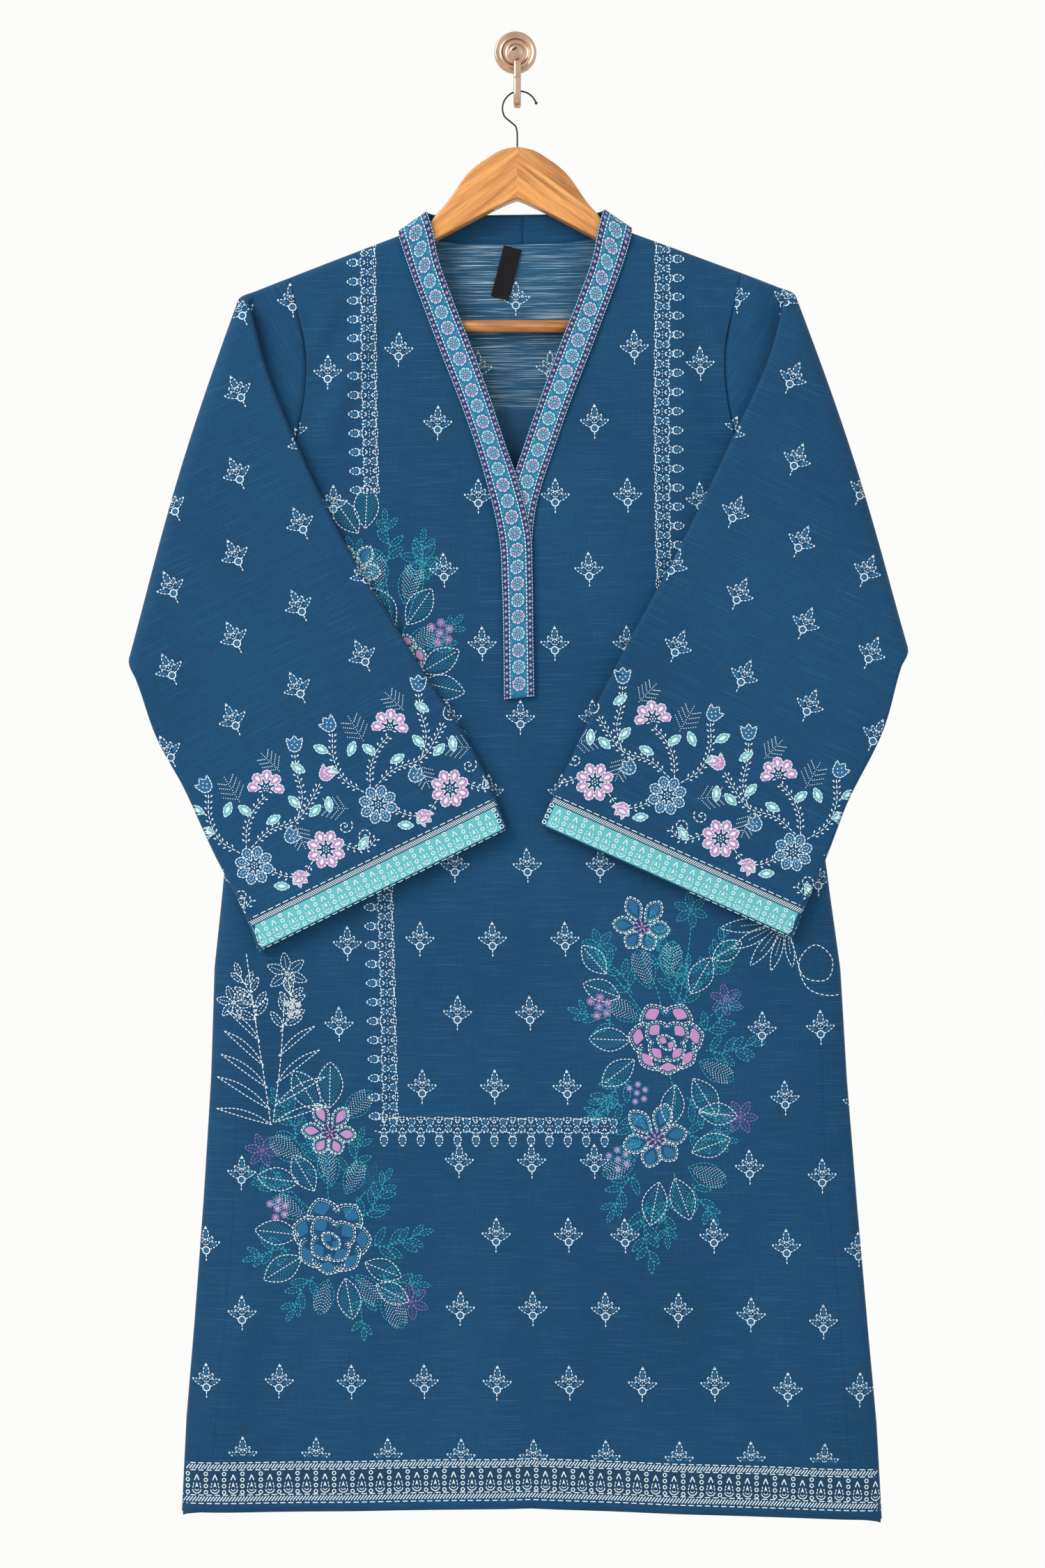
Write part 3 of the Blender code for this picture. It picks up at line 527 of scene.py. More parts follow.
def link(name: str, data: bpy.types.ID | None) -> Piece:
    """Puts an object in the scene.

    Args:
        name: the name of the object.
        data: its mesh, light or camera, or nothing.

    Returns:
        The object.
    """
    made = bpy.data.objects.new(name, data)
    bpy.context.scene.collection.objects.link(made)
    return made


def add_piece(name: str, mesh: bpy.types.Mesh, finishes: Sequence[Finish],
              node: str = "") -> Piece:
    """Puts a mesh in the scene as a piece of the part.

    Args:
        name: the piece's name.
        mesh: its mesh, with its place in it.
        finishes: its finishes in order.
        node: the node that it replaces, or nothing.

    Returns:
        The piece, riding on the part's body.
    """
    piece = link(name, mesh)
    for finish in finishes:
        mesh.materials.append(finish.make())
    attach(piece, "root")
    if node:
        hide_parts(node)
    LOG.info("%s", name)
    return piece


def modify(piece: Piece, name: str, kind: str, **settings: object) -> None:
    """Adds a modifier with its settings.

    Args:
        piece: the piece.
        name: the name of the modifier.
        kind: its type.
        settings: its settings.
    """
    modifier = piece.modifiers.new(name, kind)
    for key, value in settings.items():
        setattr(modifier, key, value)


def thicken(piece: Piece, wall: float, inner_material: int = 0) -> None:
    """Gives a sheet its thickness, half to each side, with even walls."""
    modify(piece, "cloth_wall", "SOLIDIFY", thickness=wall * MM, offset=0.0, use_even_offset=True,
           material_offset=inner_material)


def lathe(name: str, profile: Sequence, base: Vector, axis: Vector, steps: int = 96) -> bpy.types.Mesh:
    """A turned shape: radius(t) and height(t) of a profile, swept about an axis.

    Args:
        name: the mesh's name.
        profile: radius and height pairs, mm, from one end on the axis to the other.
        base: where height 0 lies.
        axis: the way that height grows.
        steps: sides of the sweep.

    Returns:
        The closed mesh.
    """
    profile = np.asarray(profile, float)
    turn = np.linspace(0, 2 * math.pi, steps, endpoint=False)
    radius, height = profile[:, 0, None], profile[:, 1, None]
    local = np.stack([radius * np.cos(turn), radius * np.sin(turn), height + 0 * turn], axis=-1)
    points = local @ np.array(Vector(axis).to_track_quat("Z", "Y").to_matrix()).T + np.array(base)
    return weld(make_mesh(name, points, grid_faces(len(profile), steps, True)[:, ::-1]))


def tube(name: str, path: Array, radius: float, sides: int = 20) -> bpy.types.Mesh:
    """A round rod along a path in the plane of the hanger: a circle carried by the path's normals.

    Args:
        name: the mesh's name.
        path: x, y and z of its middle line, mm.
        radius: its radius, mm.
        sides: sides of the circle.

    Returns:
        The closed mesh, with rounded ends.
    """
    way = np.gradient(path, axis=0)
    way /= np.linalg.norm(way, axis=1)[:, None]
    first = np.cross(way, (0.0, 1.0, 0.0))
    first /= np.linalg.norm(first, axis=1)[:, None]
    second = np.cross(way, first)
    ends = np.linspace(0, math.pi / 2, 5)
    centres = np.concatenate([path[0] - way[0] * radius * np.cos(ends)[:, None], path[1:-1],
                              path[-1] + way[-1] * radius * np.cos(ends[::-1])[:, None]])
    radii = np.concatenate([np.sin(ends), np.ones(len(path) - 2), np.sin(ends[::-1])]) * radius
    pick = np.clip(np.arange(len(radii)) - 4, 0, len(path) - 1)
    turn = np.linspace(0, 2 * math.pi, sides, endpoint=False)[None, :, None]
    ring = first[pick][:, None] * np.cos(turn) + second[pick][:, None] * np.sin(turn)
    points = centres[:, None] + ring * radii[:, None, None]
    return weld(make_mesh(name, points, grid_faces(len(radii), sides, True)))


def plate(name: str, outline: Array, finish: Finish, node: str, thickness: float,
          bevel: float) -> None:
    """Adds a flat piece with rounded rims: an outline in a plane, thickened across it and bevelled.

    Args:
        name: the piece's name.
        outline: its corners in order, mm.
        finish: its finish.
        node: the node that it replaces.
        thickness: across the plane, mm.
        bevel: radius of the rims, mm.
    """
    mesh = bpy.data.meshes.new(name)
    mesh.from_pydata((outline * MM).tolist(), [], [tuple(range(len(outline)))])
    mesh.shade_smooth()
    piece = add_piece(name, mesh, [finish], node)
    thicken(piece, thickness)
    modify(piece, "rims", "BEVEL", width=bevel * MM, segments=5, limit_method="ANGLE",
           angle_limit=math.radians(50), harden_normals=True)


# ---------------------------------------------------------------- the tunic


@dataclass(frozen=True)
class Hang:
    """How the tunic hangs: where a place of its flat pattern goes, and how deep the cloth lies there.

    A fold is x and z of both its ends, its width and its height.
    """

    plane_y: float = -40.0
    half_depth: float = 8.4
    skirt_ease: float = 2.4
    shoulder_roll: float = 8.0
    side_roll: float = 14.0
    skirt_top: float = -260.0
    skirt_over: float = 340.0
    slit_top: float = -703.0
    slit_over: float = 200.0
    slit_roll: float = 26.0
    side_lap: float = 0.12
    slit_spread: float = 3.23
    spread_over: float = 400.0
    hem_width: float = 14.5
    hem_height: float = 0.35
    sway: float = 14.0
    sway_top: float = -300.0
    sway_over: float = 400.0
    tilt: float = 0.012
    tilt_loss: float = 0.0234
    tilt_top: float = -160.0
    tilt_over: float = 1040.0
    placket_heights: tuple = (-600, -540, -420, -330, -157)
    placket_widths: tuple = (0, 26, 26, 46, 104)
    placket_fade: float = 22.0
    back_neck: float = -215.0
    back_fade: float = 60.0
    ripple_fade: float = 20.0
    shoulder_neck: Pair = (88.0, -157.0)
    shoulder_tip: Pair = (184.0, -193.0)
    armhole: tuple = ((184, -193), (178, -221), (171.5, -250), (171, -280), (177, -318),
                      (192, -368), (211, -415), (228, -450), (237, -472))
    side: tuple = ((237, -472), (238, -560), (243, -650), (249, -703), (256, -760),
                   (260, -850), (267, -950), (275, -1050), (282, -1130), (286, -1207))
    front_folds: tuple = (
        (-104, -196, -160, -340, 11, 4.2), (-140, -206, -170, -262, 8, 2.4),
        (116, -192, 152, -330, 12, 3.6), (142, -198, 168, -252, 9, 2.4),
        (190, -985, 256, -1165, 20, 5.5), (-205, -990, -252, -1160, 18, 4),
        (-118, -780, -142, -1230, 30, 2.6), (-18, -820, -6, -1230, 34, 2),
        (98, -790, 128, -1230, 30, 2.8), (60, -430, 44, -700, 26, 1.6),
    )
    back_folds: tuple = (
        (-110, -240, -150, -420, 15, 3), (112, -240, 156, -430, 15, 3.2),
        (-175, -760, -215, -1230, 24, 4.5), (-60, -700, -78, -1230, 28, 3.4),
        (52, -720, 70, -1230, 30, 3), (168, -780, 214, -1230, 24, 4.5),
    )

    def place(self, points: Array) -> Array:
        """Where places of the flat pattern hang: the skirt sways right, shoulders and hem tilt.

        Args:
            points: places of the flat pattern, x and z.

        Returns:
            The places as they hang.
        """
        x, z = points[..., 0], points[..., 1]
        below = np.maximum(0.0, self.sway_top - z) / self.sway_over
        sway = self.sway * (1 - np.exp(-(below**1.5)))
        down = np.clip((self.tilt_top - z) / self.tilt_over, 0.0, 1.0)
        return np.stack([x + sway, z + x * (self.tilt - self.tilt_loss * down)], axis=-1)

    def half_width(self, z: Array) -> Array:
        """Half the width of the body below the armholes."""
        width, height = np.array(self.side)[::-1].T
        return np.interp(z, height, width)

    def stand_off(self, z: Array) -> Array:
        """From the hanger's plane to the middle of the cloth, where nothing closes it."""
        return self.half_depth + self.skirt_ease * ease((self.skirt_top - z) / self.skirt_over)

    @staticmethod
    def fold_height(folds: tuple, points: Array) -> Array:
        """Sum of soft ridges: each a bell across its line, faded at both ends of it.

        Args:
            folds: the ridges, a row of numbers each.
            points: places of the flat pattern.

        Returns:
            The height at every place.
        """
        height = np.zeros(points.shape[:-1])
        for x0, z0, x1, z1, width, most in folds:
            run = np.hypot(x1 - x0, z1 - z0)
            x, z = points[..., 0] - x0, points[..., 1] - z0
            along = (x * (x1 - x0) + z * (z1 - z0)) / run
            across = (x * (z1 - z0) - z * (x1 - x0)) / run
            ends = ease(along / (0.35 * run)) * ease((run - along) / (0.35 * run) + 0.25)
            height += most * ends * np.exp(-((across / width) ** 2))
        return height

    def placket_calm(self, points: Array) -> Array:
        """0 beside the placket and the neck, where the cloth lies flat, and 1 away from it."""
        edge = np.interp(points[..., 1], self.placket_heights, self.placket_widths)
        return ease((np.abs(points[..., 0]) - edge) / self.placket_fade)

    @staticmethod
    def ripple(points: Array) -> Array:
        """Faint unevenness of ironed cotton, mm: a few crossing sine waves of unlike lengths."""
        waves = ((0.21, 41, 97, 0.3), (0.17, -63, 71, 1.9), (0.13, 29, -53, 4.0), (0.08, 17, 33, 2.2))
        return sum(size * np.sin((points * 2 / (wx, wz)).sum(-1) + phase) for size, wx, wz, phase in waves)

    def panel_y(self, points: Array, forward: bool) -> Array:
        """Depth of the middle of the front's or the back's cloth.

        Args:
            points: places of the flat pattern, mm.
            forward: the front, not the back.

        Returns:
            y in mm: the stand-off, closed by quarter ellipses at the shoulder and the sides, plus folds, and
            along the slits the ridge of their hems.
        """
        x, z = np.abs(points[..., 0]), points[..., 1]
        (neck_x, neck_z), (tip_x, tip_z) = self.shoulder_neck, self.shoulder_tip
        under_x, under_z = self.armhole[-1]
        shoulder = neck_z + (x - neck_x) / (tip_x - neck_x) * (tip_z - neck_z)
        above = np.hypot(under_x - x, np.maximum(0.0, z - under_z))
        beside = np.where(z > under_z, above, self.half_width(z) - x)
        free = ease((self.slit_top - z) / self.slit_over)
        side_roll = self.side_roll + self.slit_roll * free
        open_share = roll(shoulder - z, self.shoulder_roll) * roll(beside, side_roll)
        lap = self.side_lap + self.slit_spread * ease((self.slit_top - z) / self.spread_over)
        apart = lap + (self.stand_off(z) - lap) * open_share
        folds = self.fold_height(self.front_folds if forward else self.back_folds, self.place(points))
        calm = self.placket_calm(points) if forward else ease((self.back_neck - z) / self.back_fade)
        hems = free * ease((self.hem_width - beside) / 1.5) * ease(beside / 3.0) * self.hem_height
        apart = apart + folds * calm * open_share + self.ripple(points) * ease(beside / self.ripple_fade)
        return self.plane_y + (apart + hems) * (-1 if forward else 1)

    def open_front_y(self, points: Array) -> Array:
        """Depth of the hung front, as if it never closed at the sides."""
        folds = self.fold_height(self.front_folds, points) * self.placket_calm(points)
        return self.plane_y - self.stand_off(points[..., 1]) - folds


HANG = Hang()


def armhole_steps(roll_steps: int, middle_steps: int, under_steps: int) -> Array:
    """Fractions along the armhole, close together where the cloth rolls at its two ends.

    Args:
        roll_steps: steps in the upper roll.
        middle_steps: steps between the rolls.
        under_steps: steps in the lower roll.

    Returns:
        The fractions, from 0 to 1.
    """
    length = distances(np.array(HANG.armhole))[-1]
    top, under = (1 - np.cos(np.linspace(0, math.pi / 2, steps + 1)) for steps in (roll_steps, under_steps))
    top, under = HANG.shoulder_roll * top, length - (HANG.side_roll + 1) * under[::-1]
    middle = np.linspace(top[-1], under[0], middle_steps + 1)[1:-1]
    return np.concatenate([top, middle, under]) / length


@dataclass
class BodyPanel:
    """The front or the back: two half grids that share the middle line."""

    forward: bool
    neck: tuple
    hem_middle: float
    hem_side: float
    flat: Pair = (0.600, 1.065)
    area: float = 0.535
    wall: float = 0.8
    columns: int = 56
    skirt_rows: int = 150
    neck_reach: float = 70.0
    spacing: float = 1.35

    def flat_grid(self) -> Array:
        """Rows of points of the right half on the flat pattern.

        Returns:
            rows x columns x 2, each row a straight line from the neck's edge to the side.
        """
        fractions = armhole_steps(7, 62, 8)
        under_z, neck_z = HANG.armhole[-1][1], self.neck[0][1]
        middle = row_of(0 * fractions, neck_z + (under_z - neck_z) * fractions)
        inner = smooth_path(self.neck, fractions) if self.forward else middle
        down = np.linspace(0, 1, self.skirt_rows + 1)[1:]
        side_z = under_z + (self.hem_side - under_z) * down
        middle_z = inner[-1, 1] + (self.hem_middle - inner[-1, 1]) * down
        outer = smooth_path(HANG.armhole, fractions)
        outer = np.concatenate([outer, row_of(HANG.half_width(side_z), side_z)])
        inner = np.concatenate([inner, row_of(0 * down, middle_z)])
        across = (1 - (1 - np.linspace(0, 1, self.columns + 1)) ** self.spacing)[None, :, None]
        grid = inner[:, None] * (1 - across) + outer[:, None] * across
        if not self.forward:
            top = np.array(self.neck)
            straight = grid[0, :, 1].copy()
            rise = np.interp(grid[0, :, 0], top[:, 0], top[:, 1]) - straight
            grid[:, :, 1] += rise * (1 - ease((straight - grid[:, :, 1]) / self.neck_reach))
        return grid

    def build(self, prints: "Prints") -> None:
        """Makes the panel, its right side's cloth outside and its wrong side's inside, and its prints.

        Args:
            prints: the prints that lie on it.
        """
        node = "front" if self.forward else "back"
        half = self.flat_grid()
        flat = np.stack([half, half * (-1, 1)])
        points = np.insert(HANG.place(flat), 1, HANG.panel_y(flat, self.forward), axis=-1)
        right = grid_faces(*half.shape[:2])[:, :: -1 if self.forward else 1]
        faces = np.concatenate([right, right[:, ::-1] + half.size // 2])
        mesh = weld(make_mesh(f"kameez_{node}", points, faces, flat), outwards=False)
        piece = add_piece(mesh.name, mesh, [KAMEEZ, WRONG_SIDE], node)
        thicken(piece, self.wall, 1)
        inks = prints.lay(piece)


@dataclass
class Sleeve:
    """A flattened tube, set into the armhole and folded forward over the front along a slanting roll."""

    side: Side
    top: Pair
    under: Pair
    roll_axis: Pair
    top_edge: tuple
    under_edge: tuple
    flat: Pair = (0.610, 0.560)
    area: float = 0.250
    half: float = 4.4
    gap: float = 2.4
    bow: float = 6.3
    elbow: float = 5.5
    flatter: float = 0.35
    edge_roll: float = 3.2
    roll_extra: float = 1.8
    cap_narrows: Pair = (3.0, 9.0)
    seam_sink: float = 0.9
    slide_most: float = 1.3
    wall: float = 0.8
    cap_rings: int = 12
    roll_rings: int = 14
    forearm_rings: int = 96

    def folded_y(self, flat: Array) -> Array:
        """Depth of the middle of the folded sleeve: just clear of the front under it."""
        return HANG.open_front_y(flat) - self.gap - self.half

    def rings(self) -> tuple[Array, Array]:
        """Loops of points round the tube, from the armhole to the cuff.

        Returns:
            The points, rings x loop x 3, and their places on the cloth, rings x loop x 2. A ring is its
            middle line, a straight line from the top edge to the underarm edge, with both layers
            half a thickness off it, closed by quarter ellipses at the edges. A place on the cloth is
            the point on the plan of the folded sleeve, with the roll laid open and the cap turned
            over it like a mirror image. The edges slide along the roll, as a slanting fold makes them.
        """
        fractions = armhole_steps(6, 46, 8)
        hung = HANG.place(smooth_path(HANG.armhole, fractions) * (self.side.value, 1))
        along = np.array(self.roll_axis) / np.hypot(*self.roll_axis)
        outward = np.array([self.side.value * abs(along[1]), abs(along[0])])
        top, under = np.array(self.top), np.array(self.under)
        around = math.pi * (self.half + self.gap + HANG.half_depth) / 2
        corner = fractions**6
        bowed = (self.bow * np.sin(math.pi * fractions) + self.elbow * corner)[:, None] * outward
        across = fractions[:, None]
        rows = []
        for share in np.linspace(0, 1, self.cap_rings, endpoint=False):
            flat = hung * (1 - share) + (top + (under - top) * across) * share + bowed * share**2
            half = HANG.half_depth + (self.half - HANG.half_depth) * ease((share - 0.35) / 0.65)
            sunk = self.seam_sink * max(0.0, 1 - share * self.cap_rings / 1.5)
            rolls = np.array((HANG.shoulder_roll, HANG.side_roll)) - np.array(self.cap_narrows) * share
            plan = flat + (around - 2 * ((flat - top) @ outward))[:, None] * outward
            rows.append((flat, 0 * fractions + HANG.plane_y, half - sunk, rolls, (0.0, -1.0), plan))
        slides = []
        for way in (top - hung[0], under - hung[-1]):
            slide = np.clip(way @ along / max(way @ outward, 1.0), 0.0, self.slide_most)
            slides.append(along * slide * around)
        top_slide, under_slide = slides
        for turn in np.linspace(0, math.pi, self.roll_rings + 1):
            done = turn / math.pi
            a, b = top + top_slide * done, under + under_slide * done
            flat = a + (b - a) * across + bowed
            plan = flat + outward * around * (1 - done)
            radius = (HANG.plane_y - self.folded_y(flat)) / 2
            depth = HANG.plane_y - radius * (1 - math.cos(turn))
            flat = flat + outward * (radius * math.sin(turn) * (1 - self.flatter * corner))[:, None]
            edge = self.edge_roll + self.roll_extra * (1 - done)
            rows.append((flat, depth, self.half, (edge, edge), (math.sin(turn), -math.cos(turn)), plan))
        places = np.linspace(0, 1, self.forearm_rings + 1)[1:]
        top_edge = smooth_path([top + top_slide, *self.top_edge], places)
        under_edge = smooth_path([under + under_slide, *self.under_edge], places)
        rolls = (self.edge_roll, self.edge_roll)
        for a, b, place in zip(top_edge, under_edge, places):
            flat = a + (b - a) * across + bowed * max(0.0, 1 - 5 * place) ** 2
            rows.append((flat, self.folded_y(flat), self.half, rolls, (0.0, 1.0), flat))
        cuff = np.subtract(self.top_edge[-1], self.under_edge[-1])
        cuff /= np.hypot(*cuff)
        points, cloth = [], []
        for flat, depth, half, rolls, facing, plan in rows:
            length = np.hypot(*(flat[-1] - flat[0]))
            off = half * roll(fractions * length, rolls[0]) * roll(length * (1 - fractions), rolls[1])
            layers = []
            for step in (off, -off):
                aside = flat - (step * facing[0])[:, None] * outward
                layers.append(np.insert(aside, 1, depth + step * facing[1], axis=1))
            points.append(np.concatenate([layers[0], layers[1][-2:0:-1]]))
            chart = plan @ np.array([cuff, (-cuff[1], cuff[0])]).T
            cloth.append(np.concatenate([chart, chart[-2:0:-1]]))
        return np.array(points), np.array(cloth)

    def build(self, prints: "Prints") -> None:
        """Makes the sleeve and its prints.

        Args:
            prints: the prints that lie on it.
        """
        node = f"sleeve_{self.side}"
        points, cloth = self.rings()
        faces = grid_faces(*points.shape[:2], True)[:, :: self.side.value]
        mesh = make_mesh(f"kameez_{node}", points, faces, cloth)
        piece = add_piece(mesh.name, mesh, [KAMEEZ], node)
        thicken(piece, self.wall)
        inks = prints.lay(piece)


@dataclass
class NeckBand:
    """A strip from centre back over the shoulder, down the V and on down the placket.

    The rows over the shoulder are x, y and z of its inner and of its outer edge; the others have no y.
    """

    side: Side
    ends: tuple
    seam_x: float = 6.5
    seam_end: float = 36.0
    lift: float = 1.9
    placket_lift: float = 1.5
    placket_top: float = -322.0
    placket_over: float = 28.0
    steps: int = 12
    even_from: int = 40
    wall: float = 0.9
    flat: Pair = (0.026, 0.560)
    columns: int = 8
    dip: float = 0.35
    over_shoulder: tuple = (
        (-0.1, -29.7, -141, -0.1, -29.7, -169.5), (36, -29.7, -141, 40, -29.7, -169.5),
        (56, -29.7, -140.9, 67, -29.4, -168.5), (66.5, -31.5, -140.7, 86, -29.2, -167),
        (71.5, -37, -140.3, 94, -32.5, -158.5), (72.5, -43.5, -140.5, 95.5, -45, -156.8),
        (71, -49.3, -144.5, 94.5, -50.6, -164),
    )
    down_the_front: tuple = (
        (67.5, -157, 91, -176), (63.5, -178, 84.5, -195), (51, -214, 74, -223),
        (38, -247, 61.5, -256), (22, -290, 45, -298),
    )

    def edges(self) -> list[Array]:
        """Follows the neck.

        Returns:
            The two edges of the band, inner and outer, from centre back to the foot of the placket.
        """
        sign = self.side.value
        edges = [], []
        for row in self.over_shoulder:
            for edge, (x, y, z) in zip(edges, (row[:3], row[3:])):
                hung = HANG.place(np.array((sign * x, z)))
                edge.append((hung[0] + self.seam_x * max(0.0, 1 - x / self.seam_end), y, hung[1]))
        placket_lift = self.placket_lift if self.side is Side.LEFT else 0.0
        for row in [*(np.array(self.down_the_front) * (sign, 1, sign, 1)), *self.ends]:
            for edge, (x, z) in zip(edges, (row[:2], row[2:])):
                lift = self.lift + placket_lift * ease((self.placket_top - z) / self.placket_over)
                edge.append((x, HANG.plane_y - HANG.stand_off(z) - lift, z))
        return [smooth_rows(edge, self.steps) for edge in edges]

    def chart(self) -> tuple[Array, Array, Array, Array, float]:
        """The band's own map.

        Returns:
            Its rows' distances down the middle line, both its edges, its outward normals, and its width where
            that is even.
        """
        inner, outer = self.edges()
        middle = (inner + outer) / 2
        normal = np.cross(np.gradient(middle, axis=0), outer - inner) * self.side.value
        normal /= np.linalg.norm(normal, axis=1)[:, None]
        widths = np.linalg.norm(outer - inner, axis=1)
        return distances(middle), inner, outer, normal, float(widths[self.even_from:].mean())

    def lift_points(self, flat: Array, lift: float) -> Array:
        """Puts points of the flat strip on the band.

        Args:
            flat: distance down the strip and distance from its inner edge, in the last axis, mm.
            lift: height off its outer face.

        Returns:
            x, y and z: a straight line between both edges at that distance, then out along the normal.
        """
        at, inner, outer, normal, width = self.chart()
        s, w = flat[..., 0].ravel(), flat[..., 1].ravel()[:, None] / width
        a, b, out = (np.stack([np.interp(s, at, column) for column in table.T], axis=1)
                     for table in (inner, outer, normal))
        return (a * (1 - w) + b * w + out * (self.wall / 2 + lift)).reshape(*flat.shape[:-1], 3)

    def build(self) -> None:
        """Makes the band and its print; its two long edges are turned under, so they dip a little."""
        at, inner, outer, normal, width = self.chart()
        across = np.linspace(0, 1, self.columns + 1)
        share = across[None, :, None]
        dip = self.dip * (1 - np.minimum(1.0, np.minimum(share, 1 - share) * self.columns))
        grid = inner[:, None] * (1 - share) + outer[:, None] * share - normal[:, None] * dip
        uv = np.stack(np.meshgrid(at, across * width, indexing="ij"), axis=-1)
        faces = grid_faces(*grid.shape[:2])[:, :: -self.side.value]
        mesh = make_mesh(f"kameez_band_{self.side}", grid, faces, uv)
        piece = add_piece(mesh.name, mesh, [BAND, KAMEEZ], f"neck_band_{self.side}")
        thicken(piece, self.wall, 1)
        drawing = make_strip_print(at[-1] / UNIT, width / UNIT).moved(lambda p: p * UNIT)
        inks = lay_by(piece.name, drawing, self.lift_points)


@dataclass
class NeckLabel:
    """A bare satin loop, sewn in at its top and hanging a little askew."""

    size: Pair = (14.9, 43.0)
    centre: Triple = (-7.5, -33.4, -189.5)
    tilt: float = math.radians(14.5)
    wall: float = 0.5
    curl: float = 0.5
    wave: float = 0.35

    def build(self) -> None:
        """Makes the label: a strip with a faint curl across it and a wave down it."""
        u, v = np.meshgrid(np.linspace(-0.5, 0.5, 13), np.linspace(0.5, -0.5, 37), indexing="xy")
        x, z = u * self.size[0], v * self.size[1]
        y = self.centre[1] - self.curl * (2 * u) ** 2 * (0.5 - v) - self.wave * np.sin((0.5 - v) * 5.0)
        c, s = math.cos(self.tilt), math.sin(self.tilt)
        points = np.stack([self.centre[0] + x * c + z * s, y, self.centre[2] - x * s + z * c], axis=-1)
        mesh = make_mesh("kameez_label", points, grid_faces(37, 13), np.stack([x, z], -1))
        piece = add_piece(mesh.name, mesh, [LABEL], "neck_label")
        thicken(piece, self.wall)


# ---------------------------------------------------------------- drawings in ink


def oval(centre: Sequence[float], along: float, across: float, turn: float = 0.0, steps: int = 12) -> Array:
    """Outline of an ellipse: its half length lies along an angle in degrees.

    Args:
        centre: its middle.
        along: half its length.
        across: half its width.
        turn: the angle of its length.
        steps: points round it.

    Returns:
        The outline.
    """
    t = np.linspace(0, 2 * math.pi, steps, endpoint=False)
    c, s = math.cos(math.radians(turn)), math.sin(math.radians(turn))
    x, y = along * np.cos(t), across * np.sin(t)
    return np.stack([centre[0] + x * c - y * s, centre[1] + x * s + y * c], axis=1)


def leaf(length: float, width: float, base: float = 0.0, power: float = 1.0, steps: int = 8) -> Array:
    """Outline of a leaf that points up: half its width is sin(pi t^power) over its length.

    Args:
        length: its length.
        width: its full width.
        base: the height of its foot.
        power: under 1 is broad low down, over 1 high up.
        steps: points on each side.

    Returns:
        The outline.
    """
    t = np.linspace(0, 1, steps + 1)
    half = np.stack([width / 2 * np.sin(math.pi * t**power) ** 0.85, base + length * t], axis=1)
    return np.concatenate([half, half[-2:0:-1] * (-1, 1)])


def arc(centre: Sequence[float], radius: float, start: float, end: float, steps: int = 8) -> Array:
    """Points of an arc between two angles in degrees."""
    t = np.radians(np.linspace(start, end, steps + 1))
    return np.stack([centre[0] + radius * np.cos(t), centre[1] + radius * np.sin(t)], axis=1)


def closed_path(outline: Array) -> Array:
    """The outline with its first point again at its end."""
    return np.concatenate([outline, outline[:1]])


